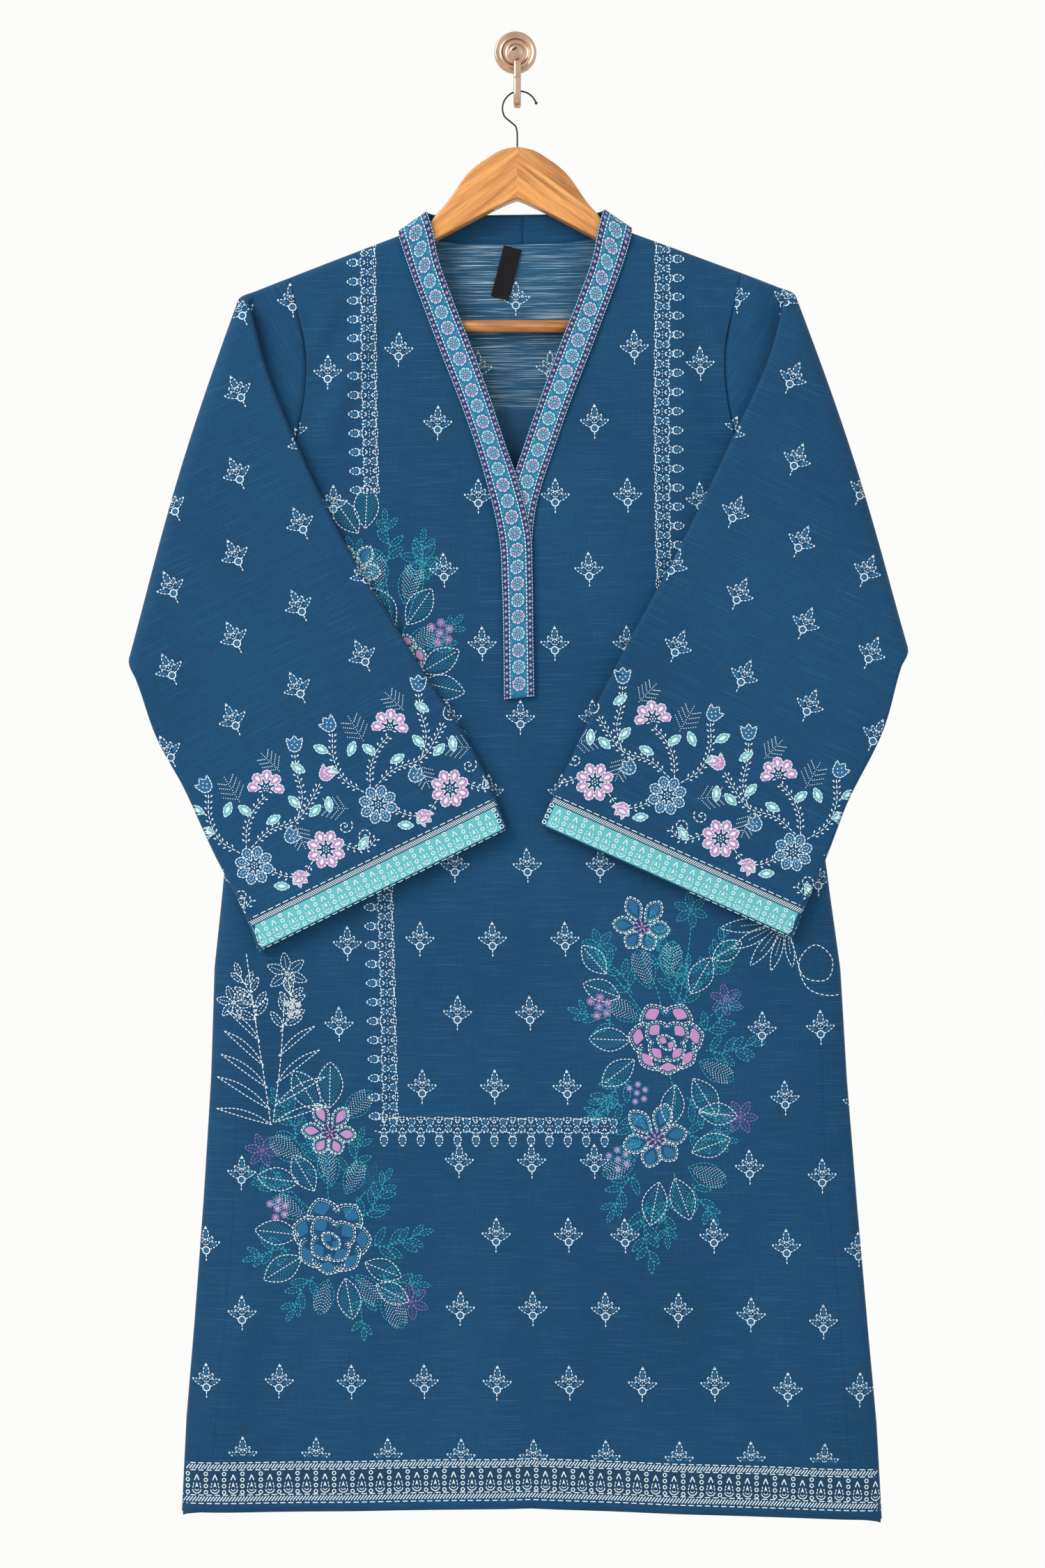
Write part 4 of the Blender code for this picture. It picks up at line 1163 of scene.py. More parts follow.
@dataclass
class Drawing:
    """Flat shapes in several inks, as triangles in a plane."""

    shapes: dict[Ink, list[Array]] = field(default_factory=dict)

    def put(self, ink: Ink, *corners: Array) -> None:
        """Adds polygons, as a fan of triangles each: their first corners, their second, and so on."""
        for second, third in zip(corners[1:], corners[2:]):
            self.shapes.setdefault(ink, []).append(np.stack([corners[0], second, third], axis=1))

    def fill(self, ink: Ink, outline: Sequence) -> None:
        """Fills an outline that its middle sees all of: a fan of triangles round its mean."""
        outline = np.asarray(outline, float)
        self.put(ink, np.broadcast_to(outline.mean(0), outline.shape), outline, np.roll(outline, -1, axis=0))

    def sheet(self, ink: Ink, low: Sequence[float], high: Sequence[float], step: float) -> None:
        """Fills a rectangle with a grid, so that it can follow the cloth.

        Args:
            ink: the ink.
            low: its lower left corner.
            high: its upper right corner.
            step: width of one cell.
        """
        columns, rows = (max(1, round((high[i] - low[i]) / step)) for i in (0, 1))
        x, y = np.meshgrid(np.linspace(low[0], high[0], columns + 1), np.linspace(low[1], high[1], rows + 1))
        self.put(ink, *np.stack([x, y], -1).reshape(-1, 2)[grid_faces(rows + 1, columns + 1).T])

    def stroke(self, ink: Ink, path: Sequence, width: float, dash: float = 0.0, gap: float = 0.0) -> None:
        """Draws along a path: a plain line, or dashes with pointed ends.

        Args:
            ink: the ink.
            path: its points.
            width: the line's width.
            dash: length of a dash, or 0 for a plain line.
            gap: between dashes.
        """
        path = np.asarray(path, float)
        at = distances(path)
        starts, ends = at[:-1], at[1:]
        if dash:
            count = max(1, round((at[-1] + gap) / (dash + gap)))
            pitch = (at[-1] + gap) / count
            starts = np.arange(count) * pitch
            ends = starts + pitch - gap
        a, b = (np.stack([np.interp(d, at, path[:, i]) for i in (0, 1)], axis=1) for d in (starts, ends))
        way = b - a
        way /= np.maximum(np.linalg.norm(way, axis=1), 1e-9)[:, None]
        side = np.stack([-way[:, 1], way[:, 0]], axis=1) * width * LINE / 2
        cap = way * (width * 0.35 if dash else 0.0)
        corners = [a + cap + side, a + cap - side, b - cap - side, b - cap + side]
        self.put(ink, *corners)
        if dash:
            self.put(ink, a, corners[1], corners[0])
            self.put(ink, b, corners[3], corners[2])

    def rim(self, ink: Ink, outline: Array, width: float, dash: float, gap: float) -> None:
        """Draws round an outline."""
        self.stroke(ink, closed_path(outline), width, dash, gap)

    def curve(self, ink: Ink, points: Sequence, steps: int, width: float, dash: float, gap: float) -> None:
        """Draws along the smooth curve through some points."""
        self.stroke(ink, smooth_path(points, np.linspace(0, 1, steps)), width, dash, gap)

    def pair(self, ink: Ink, path: Sequence, width: float, dash: float = 0.0, gap: float = 0.0) -> None:
        """Draws along a path, and along its mirror image."""
        for side in (-1, 1):
            self.stroke(ink, np.asarray(path) * (side, 1), width, dash, gap)

    def dots(self, ink: Ink, centres: Sequence, radius: float) -> None:
        """Small round dots, six-sided.

        Args:
            ink: the ink.
            centres: the middles of the dots.
            radius: their radius.
        """
        spots = np.asarray(centres, float).reshape(-1, 1, 2) + oval((0, 0), radius, radius, 0, 6)
        corners = [*spots.swapaxes(0, 1)]
        self.put(ink, *corners[:4], corners[5])
        self.put(ink, *corners[3:])

    def ring(self, ink: Ink, centre: Sequence[float], radius: float, width: float, steps: int = 12) -> None:
        """A closed round line.

        Args:
            ink: the ink.
            centre: its middle.
            radius: its radius.
            width: width of the line.
            steps: points round it.
        """
        radii = radius + width / 2, radius - width / 2
        outer, inner = (closed_path(oval(centre, r, r, 0, steps)) for r in radii)
        self.put(ink, outer[:-1], outer[1:], inner[1:], inner[:-1])

    def add(self, other: "Drawing", at: Sequence = (0, 0), turn: float | Sequence = 0.0,
            scale: float = 1.0) -> None:
        """Places another drawing one or more times.

        Args:
            other: the motif.
            at: one place, or a row for each place.
            turn: in degrees anticlockwise, for all or each.
            scale: its size.
        """
        at = np.asarray(at, float).reshape(-1, 2)
        turn = np.radians(np.broadcast_to(np.asarray(turn, float), len(at)))
        c, s = np.cos(turn) * scale, np.sin(turn) * scale
        for ink, parts in other.shapes.items():
            placed = np.einsum("tki,ijn->ntkj", np.concatenate(parts), np.array([(c, s), (-s, c)]))
            self.shapes.setdefault(ink, []).append((placed + at[:, None, None]).reshape(-1, 3, 2))

    def row(self, other: "Drawing", places: Array, height: float = 0.0, turn: float | Sequence = 0.0) -> None:
        """Places another drawing along a row."""
        self.add(other, row_of(places, height), turn)

    def wheel(self, other: "Drawing", count: int, start: float = 0.0) -> None:
        """Places another drawing round the middle, evenly turned, from an angle in degrees."""
        self.add(other, np.zeros((count, 2)), np.arange(count) * 360.0 / count + start)

    def moved(self, change: Callable[[Array], Array]) -> "Drawing":
        """A copy with every corner moved by a function of points."""
        return Drawing({ink: [change(np.concatenate(parts))] for ink, parts in self.shapes.items()})

    def kept(self, test: Callable[[Array], Array]) -> "Drawing":
        """A copy with only the triangles whose middles pass a test."""
        merged = {ink: np.concatenate(parts) for ink, parts in self.shapes.items()}
        return Drawing({ink: [tri[test(tri.mean(axis=1))]] for ink, tri in merged.items()})


def make_buti() -> Drawing:
    """The small flower that repeats over the cloth, on the print's grid, from the middle of its circle.

    Returns:
        The drawing, round its own origin.
    """
    d = Drawing()
    for path, width, dash, gap in (
            (((1.2, 14.5), (3.8, 19), (4.4, 24), (2.6, 29.5), (0, 34)), 1.5, 3.5, 1.6),
            (((2.2, 13.2), (5.2, 17.8), (9.8, 20.4)), 1.4, 3.4, 1.5),
            (((9.8, 20.4), (10.8, 15.8), (7.6, 12)), 1.4, 3.4, 1.5),
            (((9, 11.6), (14.6, 12.6), (20.6, 12.4)), 1.5, 3.7, 1.6),
            (((20.6, 12.4), (17.4, 8.6), (11.5, 4), (5.4, 1.4)), 1.5, 3.7, 1.6),
            (((1.6, 7.4), (6.2, 12.8)), 1.3, 2.4, 1.5)):
        d.pair(WHITE, path, width, dash, gap)
    for side in (-1, 1):
        d.fill(SKY, oval((side * 6.3, 15.6), 3.6, 1.6, 90 - side * 48))
        d.fill(SKY, oval((side * 11.0, 8.2), 5.6, 1.9, side * 28))
    d.stroke(WHITE, [(0, 7), (0, 17)], 1.4, 2.6, 1.7)
    d.fill(SKY, oval((0, 23.4), 5.6, 2.1, 90))
    d.fill(WHITE, [(0, 35.4), (-2.1, 30.4), (2.1, 30.4)])
    d.ring(WHITE, (0, 0), 5.2, 1.5)
    d.fill(SKY, oval((0, 0), 3.7, 3.7))
    d.stroke(WHITE, [(0, -6.0), (0, -15.4)], 1.6, 3.9, 1.5)
    return d


def make_column() -> Drawing:
    """One repeat of the woven-look border: four small rings, then a caret, an arrow and two bowls.

    Returns:
        The drawing, round its own origin.
    """
    d, shapes = Drawing(), Drawing()
    for height in (4.1, 13.0, 22.0, 30.6):
        d.ring(WHITE, (-6.6, height), 2.5, 1.35, 10)
    shapes.pair(WHITE, [(3.2, 21.6), (0, 29.4)], 1.8)
    shapes.pair(WHITE, [(4.4, 17.8), (5.8, 10.2)], 1.5, 3.4, 1.0)
    shapes.fill(WHITE, [(0, 19.0), (-2.4, 11.0), (0, 13.2), (2.4, 11.0)])
    shapes.stroke(WHITE, arc((0, 9.4), 3.0, 195, 345, 6), 1.3)
    shapes.stroke(WHITE, arc((0, 9.0), 6.4, 190, 350, 8), 1.6)
    d.add(shapes, (6.6, 0))
    return d


def make_hem_border(half_width: float) -> Drawing:
    """The border at the hem, on the print's grid, its height counted from the hem's edge.

    Args:
        half_width: half the width of the hem.

    Returns:
        The drawing, round its own origin.
    """
    d = Drawing()
    d.sheet(NIGHT, (-half_width, 25.4), (half_width, 61.6), 8.0)
    for height in (13.3, 25.4, 61.6, 72.0):
        d.stroke(WHITE, [(-half_width, height), (half_width, height)], 1.6, 8.2, 3.6)
    for low, high in ((16.4, 23.2), (63.4, 69.8)):
        slant = Drawing()
        slant.stroke(WHITE, [(0, low), ((high - low) * 0.8, high)], 1.7)
        d.row(slant, np.arange(-half_width, half_width, 4.4))
    d.row(make_column(), np.arange(-half_width, half_width, 26.4), 25.4)
    return d


def make_ladder(count: int, pitch: float) -> Drawing:
    """The ladder border, of so many repeats of a pitch: x runs along it, y out towards its row of drops.

    Args:
        count: number of repeats.
        pitch: length of one repeat.

    Returns:
        The drawing, round its own origin.
    """
    one, d = Drawing(), Drawing()
    for height, reach, radius, around in ((5.6, (3.3, 3.0), 5.4, 7), (16.6, (2.9, 2.6), 4.9, 6)):
        centre = (pitch / 2, height)
        one.fill(SKY, oval(centre, *reach))
        one.rim(WHITE, oval(centre, radius, radius, 20, 14), 1.5, 2.9, 2 * math.pi * radius / around - 2.9)
    for foot, point in ((4.4, 8.2), (18.0, 14.2)):
        one.stroke(WHITE, [(-3.0, foot), (0, point), (3.0, foot)], 1.6, 3.4, 1.0)
    one.stroke(WHITE, [(-5.4, 11.2), (5.4, 11.2)], 1.3, 2.4, 2.0)
    one.fill(SKY, oval((0, 23.4), 3.2, 2.7, 90))
    one.pair(WHITE, [(5.2, 19.6), (3.6, 24.6), (1.8, 27.4)], 1.5, 2.9, 1.3)
    one.stroke(WHITE, arc((0, 33.0), 6.4, 215, 325, 6), 1.7)
    one.fill(SKY, oval((0, 33.6), 5.0, 3.2, 90))
    one.pair(WHITE, [(5.2, 30.0), (4.9, 34.6), (3.0, 38.6), (0, 41.4)], 1.6, 3.3, 1.5)
    d.row(one, (np.arange(count) + 0.5) * pitch)
    u = np.linspace(0, count * pitch, count * 12 + 1)
    wave = np.cos(2 * math.pi * (u / pitch - 0.5))
    for middle, swing, dash, gap in ((0.4, -1.2, 3.3, 1.8), (2.2, 1.0, 3.3, 1.8), (20.6, 1.4, 3.0, 2.0)):
        d.stroke(WHITE, row_of(u, middle + swing * wave), 1.5, dash, gap)
    return d


def make_strip_print(length: float, width: float) -> Drawing:
    """The neck band's print, on the print's grid: dark edges with diamonds, dashes, and rosettes in turn.

    Args:
        length: of the strip.
        width: of the strip.

    Returns:
        The drawing, from the start of the strip's lower edge.
    """
    d, diamond, corner = Drawing(), Drawing(), Drawing()
    diamond.fill(LILAC, [(2.7, 0), (0, 2.5), (-2.7, 0), (0, -2.5)])
    corner.stroke(AQUA, [(-2.4, 0), (0, 3.4), (2.4, 0)], 1.1, 2.4, 0.8)
    for edge, sign in ((0.0, 1.0), (width, -1.0)):
        low, high = sorted((edge + sign * 1.6, edge + sign * 8.6))
        d.sheet(NIGHT, (0, low), (length, high), 4.0 / UNIT)
        for off, thick, dash, gap in ((1.0, 0.9, 2.6, 2.0), (9.8, 1.8, 3.6, 1.6)):
            d.stroke(WHITE, [(0, edge + sign * off), (length, edge + sign * off)], thick, dash, gap)
        d.row(diamond, np.arange(4.5, length, 9.0), edge + sign * 5.0)
        d.row(corner, np.arange(24.0, length, 24.0), edge + sign * 11.8, 90.0 - 90.0 * sign)
    for start, ink, core in ((12.0, LILAC, AQUA), (36.0, AQUA, LILAC)):
        rosette, petal = Drawing(), Drawing()
        petal.stroke(WHITE, [(-2.7, 7.9), (-1.2, 9.6), (0, 10.2), (1.2, 9.6), (2.7, 7.9)], 1.7, 2.6, 0.7)
        petal.dots(ink, [(-1.5, 6.6), (1.5, 6.6), (0, 7.9)], 0.95)
        petal.dots(WHITE, [(0, 4.9)], 0.8)
        rosette.wheel(petal, 8)
        rosette.dots(core, oval((0, 0), 2.6, 2.6, 0, 6), 0.95)
        rosette.dots(WHITE, [(0, 0)], 0.9)
        places = np.arange(start, length, 48.0)
        d.row(rosette, places, width / 2, np.arange(len(places)) * 11.0)
    return d


def make_daisy(size: float, ink: Ink) -> Drawing:
    """A round flower of eight drop-shaped petals, each with a stitched rim and a pale heart.

    Args:
        size: its size in mm.
        ink: its main ink.

    Returns:
        The drawing, round its own origin.
    """
    d, petal = Drawing(), Drawing()
    core, length = size * 0.26, size * 0.72
    width = 2 * math.pi * size * 0.72 / 8 * 0.86
    petal.fill(ink, leaf(length, width, core, 1.5))
    petal.rim(WHITE, leaf(length * 1.04, width * 1.10, core - 0.2, 1.5), 0.95, 2.8, 0.45)
    petal.fill(WHITE if ink is LILAC else NIGHT, leaf(length * 0.52, width * 0.36, core + 0.26 * length, 1.4))
    if ink is not LILAC:
        petal.rim(WHITE, leaf(length * 0.56, width * 0.42, core + 0.24 * length, 1.4), 0.6, 1.4, 0.7)
    d.wheel(petal, 8)
    d.dots(WHITE, [(0, 0), *oval((0, 0), size * 0.14, size * 0.14, 0, 6)], 0.62)
    return d


def make_half_daisy(size: float, ink: Ink) -> Drawing:
    """The same flower with only the four petals of one side."""
    return make_daisy(size, ink).kept(lambda p: p[:, 1] > -0.22 * size)


def make_leaf(size: float, ink: Ink) -> Drawing:
    """A filled leaf with a stitched rim and a pale heart.

    Args:
        size: its size in mm.
        ink: its main ink.

    Returns:
        The drawing, round its own origin.
    """
    d = Drawing()
    d.fill(ink, leaf(size, size * 0.50))
    d.rim(WHITE, leaf(size * 1.06, size * 0.56, -0.03 * size), 0.85, 2.6, 0.4)
    d.fill(WHITE, leaf(size * 0.52, size * 0.22, size * 0.24))
    return d


def make_bell(size: float, ink: Ink) -> Drawing:
    """A bell flower with three teeth.

    Args:
        size: its size in mm.
        ink: its main ink.

    Returns:
        The drawing, round its own origin.
    """
    d = Drawing()
    half = np.array([(0, 0), (0.30, 0.10), (0.40, 0.38), (0.50, 0.86), (0.22, 0.64), (0, 1.0)]) * size
    rim = np.concatenate([half, half[-2:0:-1] * (-1, 1)])
    d.fill(ink, rim)
    d.rim(WHITE, rim, 0.95, 2.4, 0.35)
    d.dots(WHITE, np.array([(0, 0.26), (0.16, 0.42), (-0.16, 0.42), (0, 0.60)]) * size, 0.6)
    return d


def make_fern(size: float, ink: Ink) -> Drawing:
    """A dotted frond with four pairs of side shoots.

    Args:
        size: its size in mm.
        ink: its main ink.

    Returns:
        The drawing, round its own origin.
    """
    d = Drawing()
    d.dots(ink, [(0, height) for height in np.linspace(0, size, 12)], 0.42)
    for share in (0.08, 0.28, 0.48, 0.68):
        run = np.linspace(0.10, 0.55 - 0.22 * share, 6) * size
        for side in (-1, 1):
            d.dots(ink, row_of(side * run * 0.78, share * size + run * 0.60), 0.42)
    return d


def make_curl(size: float, ink: Ink) -> Drawing:
    """A dashed curl of one and a half turns.

    Args:
        size: its size in mm.
        ink: its main ink.

    Returns:
        The drawing, round its own origin.
    """
    t = np.linspace(0, 3.4 * math.pi, 60)
    r = size * (0.10 + 0.90 * (t / t[-1]) ** 1.4)
    d = Drawing()
    d.stroke(ink, np.stack([r * np.cos(t), r * np.sin(t)], axis=1), 0.95, 2.8, 1.1)
    return d


def make_stitched_leaf(size: float, ink: Ink) -> Drawing:
    """A broad leaf in running stitch: its rim in one ink, its rows of veins finer.

    Args:
        size: its size in mm.
        ink: its main ink.

    Returns:
        The drawing, round its own origin.
    """
    d = Drawing()
    width = size * 0.56
    d.rim(ink, leaf(size, width, steps=14), 0.8, 2.3, 1.0)
    d.stroke(ink, [(0, size * 0.05), (0, size * 0.90)], 0.8, 2.0, 1.0)
    for share in np.arange(0.14, 0.84, 2.6 / size):
        reach = width * 0.42 * math.sin(math.pi * share**1.1) ** 0.8
        veins = [(1.0, share * size), (reach, share * size + reach * 0.62)]
        d.pair(TEAL if ink is WHITE else WHITE, veins, 0.55, 1.1, 0.8)
    return d


def make_petal(length: float, width: float, base: float, ink: Ink, hidden: float) -> Drawing:
    """A petal in running stitch: a bold rim, two fine rows of stitches in it, and a filled heart.

    Args:
        length: of the petal.
        width: of the petal.
        base: where it starts.
        ink: of its heart.
        hidden: how far up the ring of petals inside it covers it.

    Returns:
        The drawing, upright.
    """
    d = Drawing()
    d.rim(WHITE, leaf(length, width, base, 1.25, 18), 1.0, 2.5, 1.0)
    for inset, row, thread, dash in ((0.09, WHITE, 0.65, 1.3), (0.17, TEAL, 0.55, 1.1)):
        start = base + length * inset * 0.8
        inner = leaf(length * (1 - 1.5 * inset), width * (1 - 2 * inset), start, 1.25, 16)
        d.rim(row, inner, thread, dash, 0.9)
    d = d.kept(lambda p: p[:, 1] > hidden)
    start = max(base + length * 0.26, hidden + 0.5)
    d.fill(ink, leaf(base + length * 0.86 - start, width * 0.50, start, 1.2, 14))
    return d


def make_bloom(size: float, ink: Ink, rings: Sequence[tuple[int, float, float, float, float]]) -> Drawing:
    """A flower seen a little from the side: its petals are longer towards its top.

    Args:
        size: reach of its longest petals.
        ink: of the petals' hearts.
        rings: of each ring of petals, from the outermost: how many, where they start, where the ring
            inside it hides them, where they end and how wide they are.

    Returns:
        The drawing, round its own origin.
    """
    d = Drawing()
    for index, (count, low, hidden, high, wide) in enumerate(rings):
        for turn in np.arange(count) * 360.0 / count + 17.0 * (index + 1):
            view = (0.88 + 0.13 * math.cos(math.radians(turn))) * size
            d.add(make_petal((high - low) * view, wide * size, low * view, ink, hidden * view), turn=turn)
    return d


def make_peony(size: float, ink: Ink) -> Drawing:
    """A full flower: seven broad petals round a cup of four, which closes on two more."""
    rings = ((7, 0.16, 0.60, 1.02, 0.74), (4, -0.06, 0.27, 0.66, 0.60), (2, -0.30, 0.0, 0.30, 0.34))
    return make_bloom(size, ink, rings)


def make_lily(size: float, ink: Ink) -> Drawing:
    """An open flower of six pointed petals round a cup of seeds.

    Args:
        size: its size in mm.
        ink: its main ink.

    Returns:
        The drawing, round its own origin.
    """
    d, seed = make_bloom(size, ink, ((6, 0.14, 0.24, 1.0, 0.52),)), Drawing()
    seed.fill(LILAC, leaf(size * 0.13, size * 0.055, 0.0, 1.5, 6))
    for count, reach in ((5, 0.015), (9, 0.13)):
        d.wheel(seed.moved(lambda p: p + (0, reach * size)), count, 14.0 * count)
    return d


def make_spray(size: float, ink: Ink) -> Drawing:
    """A bent stem with a few stitched leaves on both sides and one at its tip.

    Args:
        size: its size in mm.
        ink: its main ink.

    Returns:
        The drawing, round its own origin.
    """
    d = Drawing()
    path = np.array([(0, 0), (0.05, 0.30), (0.02, 0.55), (-0.04, 0.76)]) * size
    d.curve(ink, path, 20, 0.85, 2.4, 1.0)
    shares = np.linspace(0.16, 0.88, max(2, round(size / 13.0)))
    for index, (share, at) in enumerate(zip(shares, smooth_path(path, shares))):
        length = 9.5 + size * (0.16 - 0.10 * share)
        blade = Drawing()
        blade.rim(ink, leaf(length, length * 0.36, 1.2, 0.9, 10), 0.9, 2.3, 0.9)
        blade.stroke(ink, [(0, length * 0.30), (0, length * 0.82)], 0.6, 1.2, 1.1)
        side = 1 if index % 2 else -1
        d.add(blade, at, side * (50.0 - 14 * share))
        d.add(blade, at - (0, 0.05 * size), -side * (54.0 - 14 * share))
    d.add(blade, path[-1], 6.0)
    return d


def make_reed(size: float, ink: Ink) -> Drawing:
    """A long narrow leaf that bends over, only its two edges stitched; a negative size bends it left.

    Args:
        size: its size in mm.
        ink: its main ink.

    Returns:
        The drawing, round its own origin.
    """
    d = Drawing()
    for edge in (((0, 0), (-0.02, 0.36), (0.06, 0.72), (0.22, 1.0)),
                 ((0, 0), (0.08, 0.32), (0.15, 0.66), (0.22, 1.0))):
        d.curve(ink, np.array(edge) * (size, abs(size)), 24, 0.85, 2.4, 1.0)
    return d


def make_plain_leaf(size: float, ink: Ink) -> Drawing:
    """A narrow leaf in running stitch, with half a midrib.

    Args:
        size: its size in mm.
        ink: its main ink.

    Returns:
        The drawing, round its own origin.
    """
    d = Drawing()
    d.rim(ink, leaf(size, size * 0.24, steps=12), 0.8, 2.4, 0.9)
    d.stroke(ink, [(0, size * 0.10), (0, size * 0.62)], 0.6, 1.6, 1.0)
    return d


def make_cluster(size: float, ink: Ink) -> Drawing:
    """Small round blossoms in a bunch, each six scallops round a dot.

    Args:
        size: its size in mm.
        ink: its main ink.

    Returns:
        The drawing, round its own origin.
    """
    d, one, petal = Drawing(), Drawing(), Drawing()
    r = size * 0.27
    petal.stroke(ink, arc((0, r * 0.56), r * 0.42, -50, 230, 7), 1.0, 1.5, 0.35)
    petal.fill(VIOLET, oval((0, r * 0.56), r * 0.24, r * 0.24, 0, 6))
    one.wheel(petal, 6)
    one.dots(WHITE, [(0, 0), *oval((0, 0), r * 0.34, r * 0.34, 0, 5)], 0.42)
    places = ((-0.02, 0.02), (0.54, 0.24), (0.06, 0.60), (-0.52, 0.34), (0.46, -0.38), (-0.14, -0.56))
    d.add(one, np.array(places) * size, [0, 20, 41, 9, 33, 52])
    return d


def make_star(size: float, ink: Ink) -> Drawing:
    """A six-pointed flower in running stitch.

    Args:
        size: its size in mm.
        ink: its main ink.

    Returns:
        The drawing, round its own origin.
    """
    d, petal = Drawing(), Drawing()
    petal.rim(ink, leaf(size * 0.94, size * 0.44, 0.6, 0.9, 8), 0.8, 2.0, 0.7)
    petal.stroke(ink, [(0, size * 0.25), (0, size * 0.78)], 0.7, 1.1, 0.7)
    petal.rim(SKY, leaf(size * 0.60, size * 0.22, size * 0.14, 0.9, 6), 0.6, 1.2, 0.8)
    d.wheel(petal, 6, 8.0)
    return d


def make_vine(path: Sequence, ink: Ink, seeds: bool) -> Drawing:
    """A dashed stem through a few points, with small seeds on both sides of it or without.

    Args:
        path: the points.
        ink: its main ink.
        seeds: whether it has seeds.

    Returns:
        The drawing, where the points are.
    """
    d, steps = Drawing(), np.linspace(0, 1, 60)
    fine = smooth_path(path, steps)
    d.stroke(ink, fine, 0.85, 3.0, 1.2)
    if seeds:
        seed = Drawing()
        seed.fill(ink, leaf(2.9, 1.15, 1.7, 1.3, 5))
        where = np.linspace(0.10, 0.94, max(2, round(distances(fine)[-1] / 5.2)))
        across, up = np.gradient(fine, axis=0).T
        turn = np.interp(where, steps, np.degrees(np.unwrap(np.arctan2(up, across)))) - 90
        for aside in (44.0, -44.0):
            d.add(seed, smooth_path(fine, where), turn + aside)
    return d


@dataclass(frozen=True)
class Bunch:
    """A bunch of flowers.

    Args:
        ink: of its stems.
        stems: a few points of each.
        sprigs: a motif, its ink, and x, z, turn in degrees and size of each one.
        seeds: whether its stems carry seeds.
    """

    ink: Ink
    stems: tuple
    sprigs: tuple
    seeds: bool = False

    def drawing(self) -> Drawing:
        """Draws the bunch.

        Returns:
            The drawing, where its flowers are.
        """
        d = Drawing()
        for path in self.stems:
            d.add(make_vine(path, self.ink, self.seeds))
        for make, ink, places in self.sprigs:
            for x, z, turn, size in places:
                d.add(make(size, ink), (x, z), turn)
        return d


# ---------------------------------------------------------------- laying prints on cloth


def ink_piece(stem: str, corners: Array, ink: Ink) -> Piece:
    """Adds one ink's triangles as a piece, their equal corners joined.

    Args:
        stem: the piece's name, without its ink.
        corners: n x 3 x 3, mm.
        ink: the ink.

    Returns:
        The piece.
    """
    flat = corners.reshape(-1, 3)
    keys = np.round(flat / JOINED).astype(np.int64)
    _, first, index = np.unique(keys, axis=0, return_index=True, return_inverse=True)
    faces = index.reshape(-1, 3)
    whole = (faces != np.roll(faces, 1, axis=1)).all(axis=1)
    name = f"{stem}_{ink.name.lower()}"
    return add_piece(name, make_mesh(name, flat[first], faces[whole]), [ink.value])


def project(triangles: Array, start: float, forward: bool, cloth: Piece, lift: float) -> Array:
    """Projects flat triangles along y on to a piece of cloth.

    Args:
        triangles: n x 3 x 2, x and z in mm.
        start: the y that they leave from, mm.
        forward: towards +y, not -y.
        cloth: the piece that they land on.
        lift: how far they stay off it, mm.

    Returns:
        n x 3 x 3 in mm, without the triangles that miss it or span one of its edges.
    """
    one, two = triangles[:, 1] - triangles[:, 0], triangles[:, 2] - triangles[:, 0]
    area = one[:, 0] * two[:, 1] - one[:, 1] * two[:, 0]
    turned = (area < 0) if forward else (area > 0)
    triangles = np.where(turned[:, None, None], triangles[:, ::-1], triangles)[np.abs(area) > 1e-6]
    points = np.insert(triangles, 1, start, axis=2)
    mesh = make_mesh("flat_print", points, np.arange(points.size // 3).reshape(-1, 3))
    sheet = link("flat_print", mesh)
    modify(sheet, "lay", "SHRINKWRAP", target=cloth, wrap_method="PROJECT", wrap_mode="ABOVE_SURFACE",
           use_project_x=False, use_project_y=True, use_project_z=False, use_positive_direction=forward,
           use_negative_direction=not forward, offset=lift * MM)
    laid = sheet.evaluated_get(bpy.context.evaluated_depsgraph_get()).to_mesh()
    landed = np.empty(points.size, np.float32)
    laid.vertices.foreach_get("co", landed)
    bpy.data.objects.remove(sheet)
    bpy.data.meshes.remove(mesh)
    corners = landed.reshape(-1, 3, 3).astype(float) / MM
    depth = corners[:, :, 1]
    size = np.ptp(triangles, axis=1).max(axis=1)
    missed = (np.abs(depth - start) < 0.5).any(axis=1)
    return corners[~missed & (np.ptp(depth, axis=1) < 1.0 + 1.2 * size)]


@dataclass
class Prints:
    """The drawings of one piece of cloth.

    Args:
        layers: a tag, a drawing in x and z, the y it is projected from, and whether towards +y.
    """

    layers: list[tuple[str, Drawing, float, bool]]

    def lay(self, cloth: Piece) -> list[Piece]:
        """Projects every drawing on to the cloth, one piece for each ink.

        Args:
            cloth: the piece of cloth.

        Returns:
            The pieces of ink.
        """
        made = []
        for tag, drawing, start, forward in self.layers:
            for ink, parts in drawing.shapes.items():
                corners = project(np.concatenate(parts), start, forward, cloth, ink.value.lift)
                if len(corners):
                    made.append(ink_piece(f"{cloth.name}_{tag}", corners, ink))
        LOG.info("%s: prints in %d pieces", cloth.name, len(made))
        return made


def lay_by(name: str, drawing: Drawing, lift_points: Callable[[Array, float], Array]) -> list[Piece]:
    """Puts a drawing on a piece by the piece's own map.

    Args:
        name: the piece's name.
        drawing: in the map's distances, mm.
        lift_points: turns places of the map and a height off it into x, y and z.

    Returns:
        One piece for each ink.
    """
    made = []
    for ink, parts in drawing.shapes.items():
        flat = np.concatenate(parts)
        corners = lift_points(flat, ink.value.lift)
        above = lift_points(flat.mean(axis=1), ink.value.lift + 1.0) - corners.mean(axis=1)
        normal = np.cross(corners[:, 1] - corners[:, 0], corners[:, 2] - corners[:, 0])
        turned = (normal * above).sum(axis=1) < 0
        corners = np.where(turned[:, None, None], corners[:, ::-1], corners)
        made.append(ink_piece(f"{name}_print", corners, ink))
    return made


# ---------------------------------------------------------------- the prints of each piece

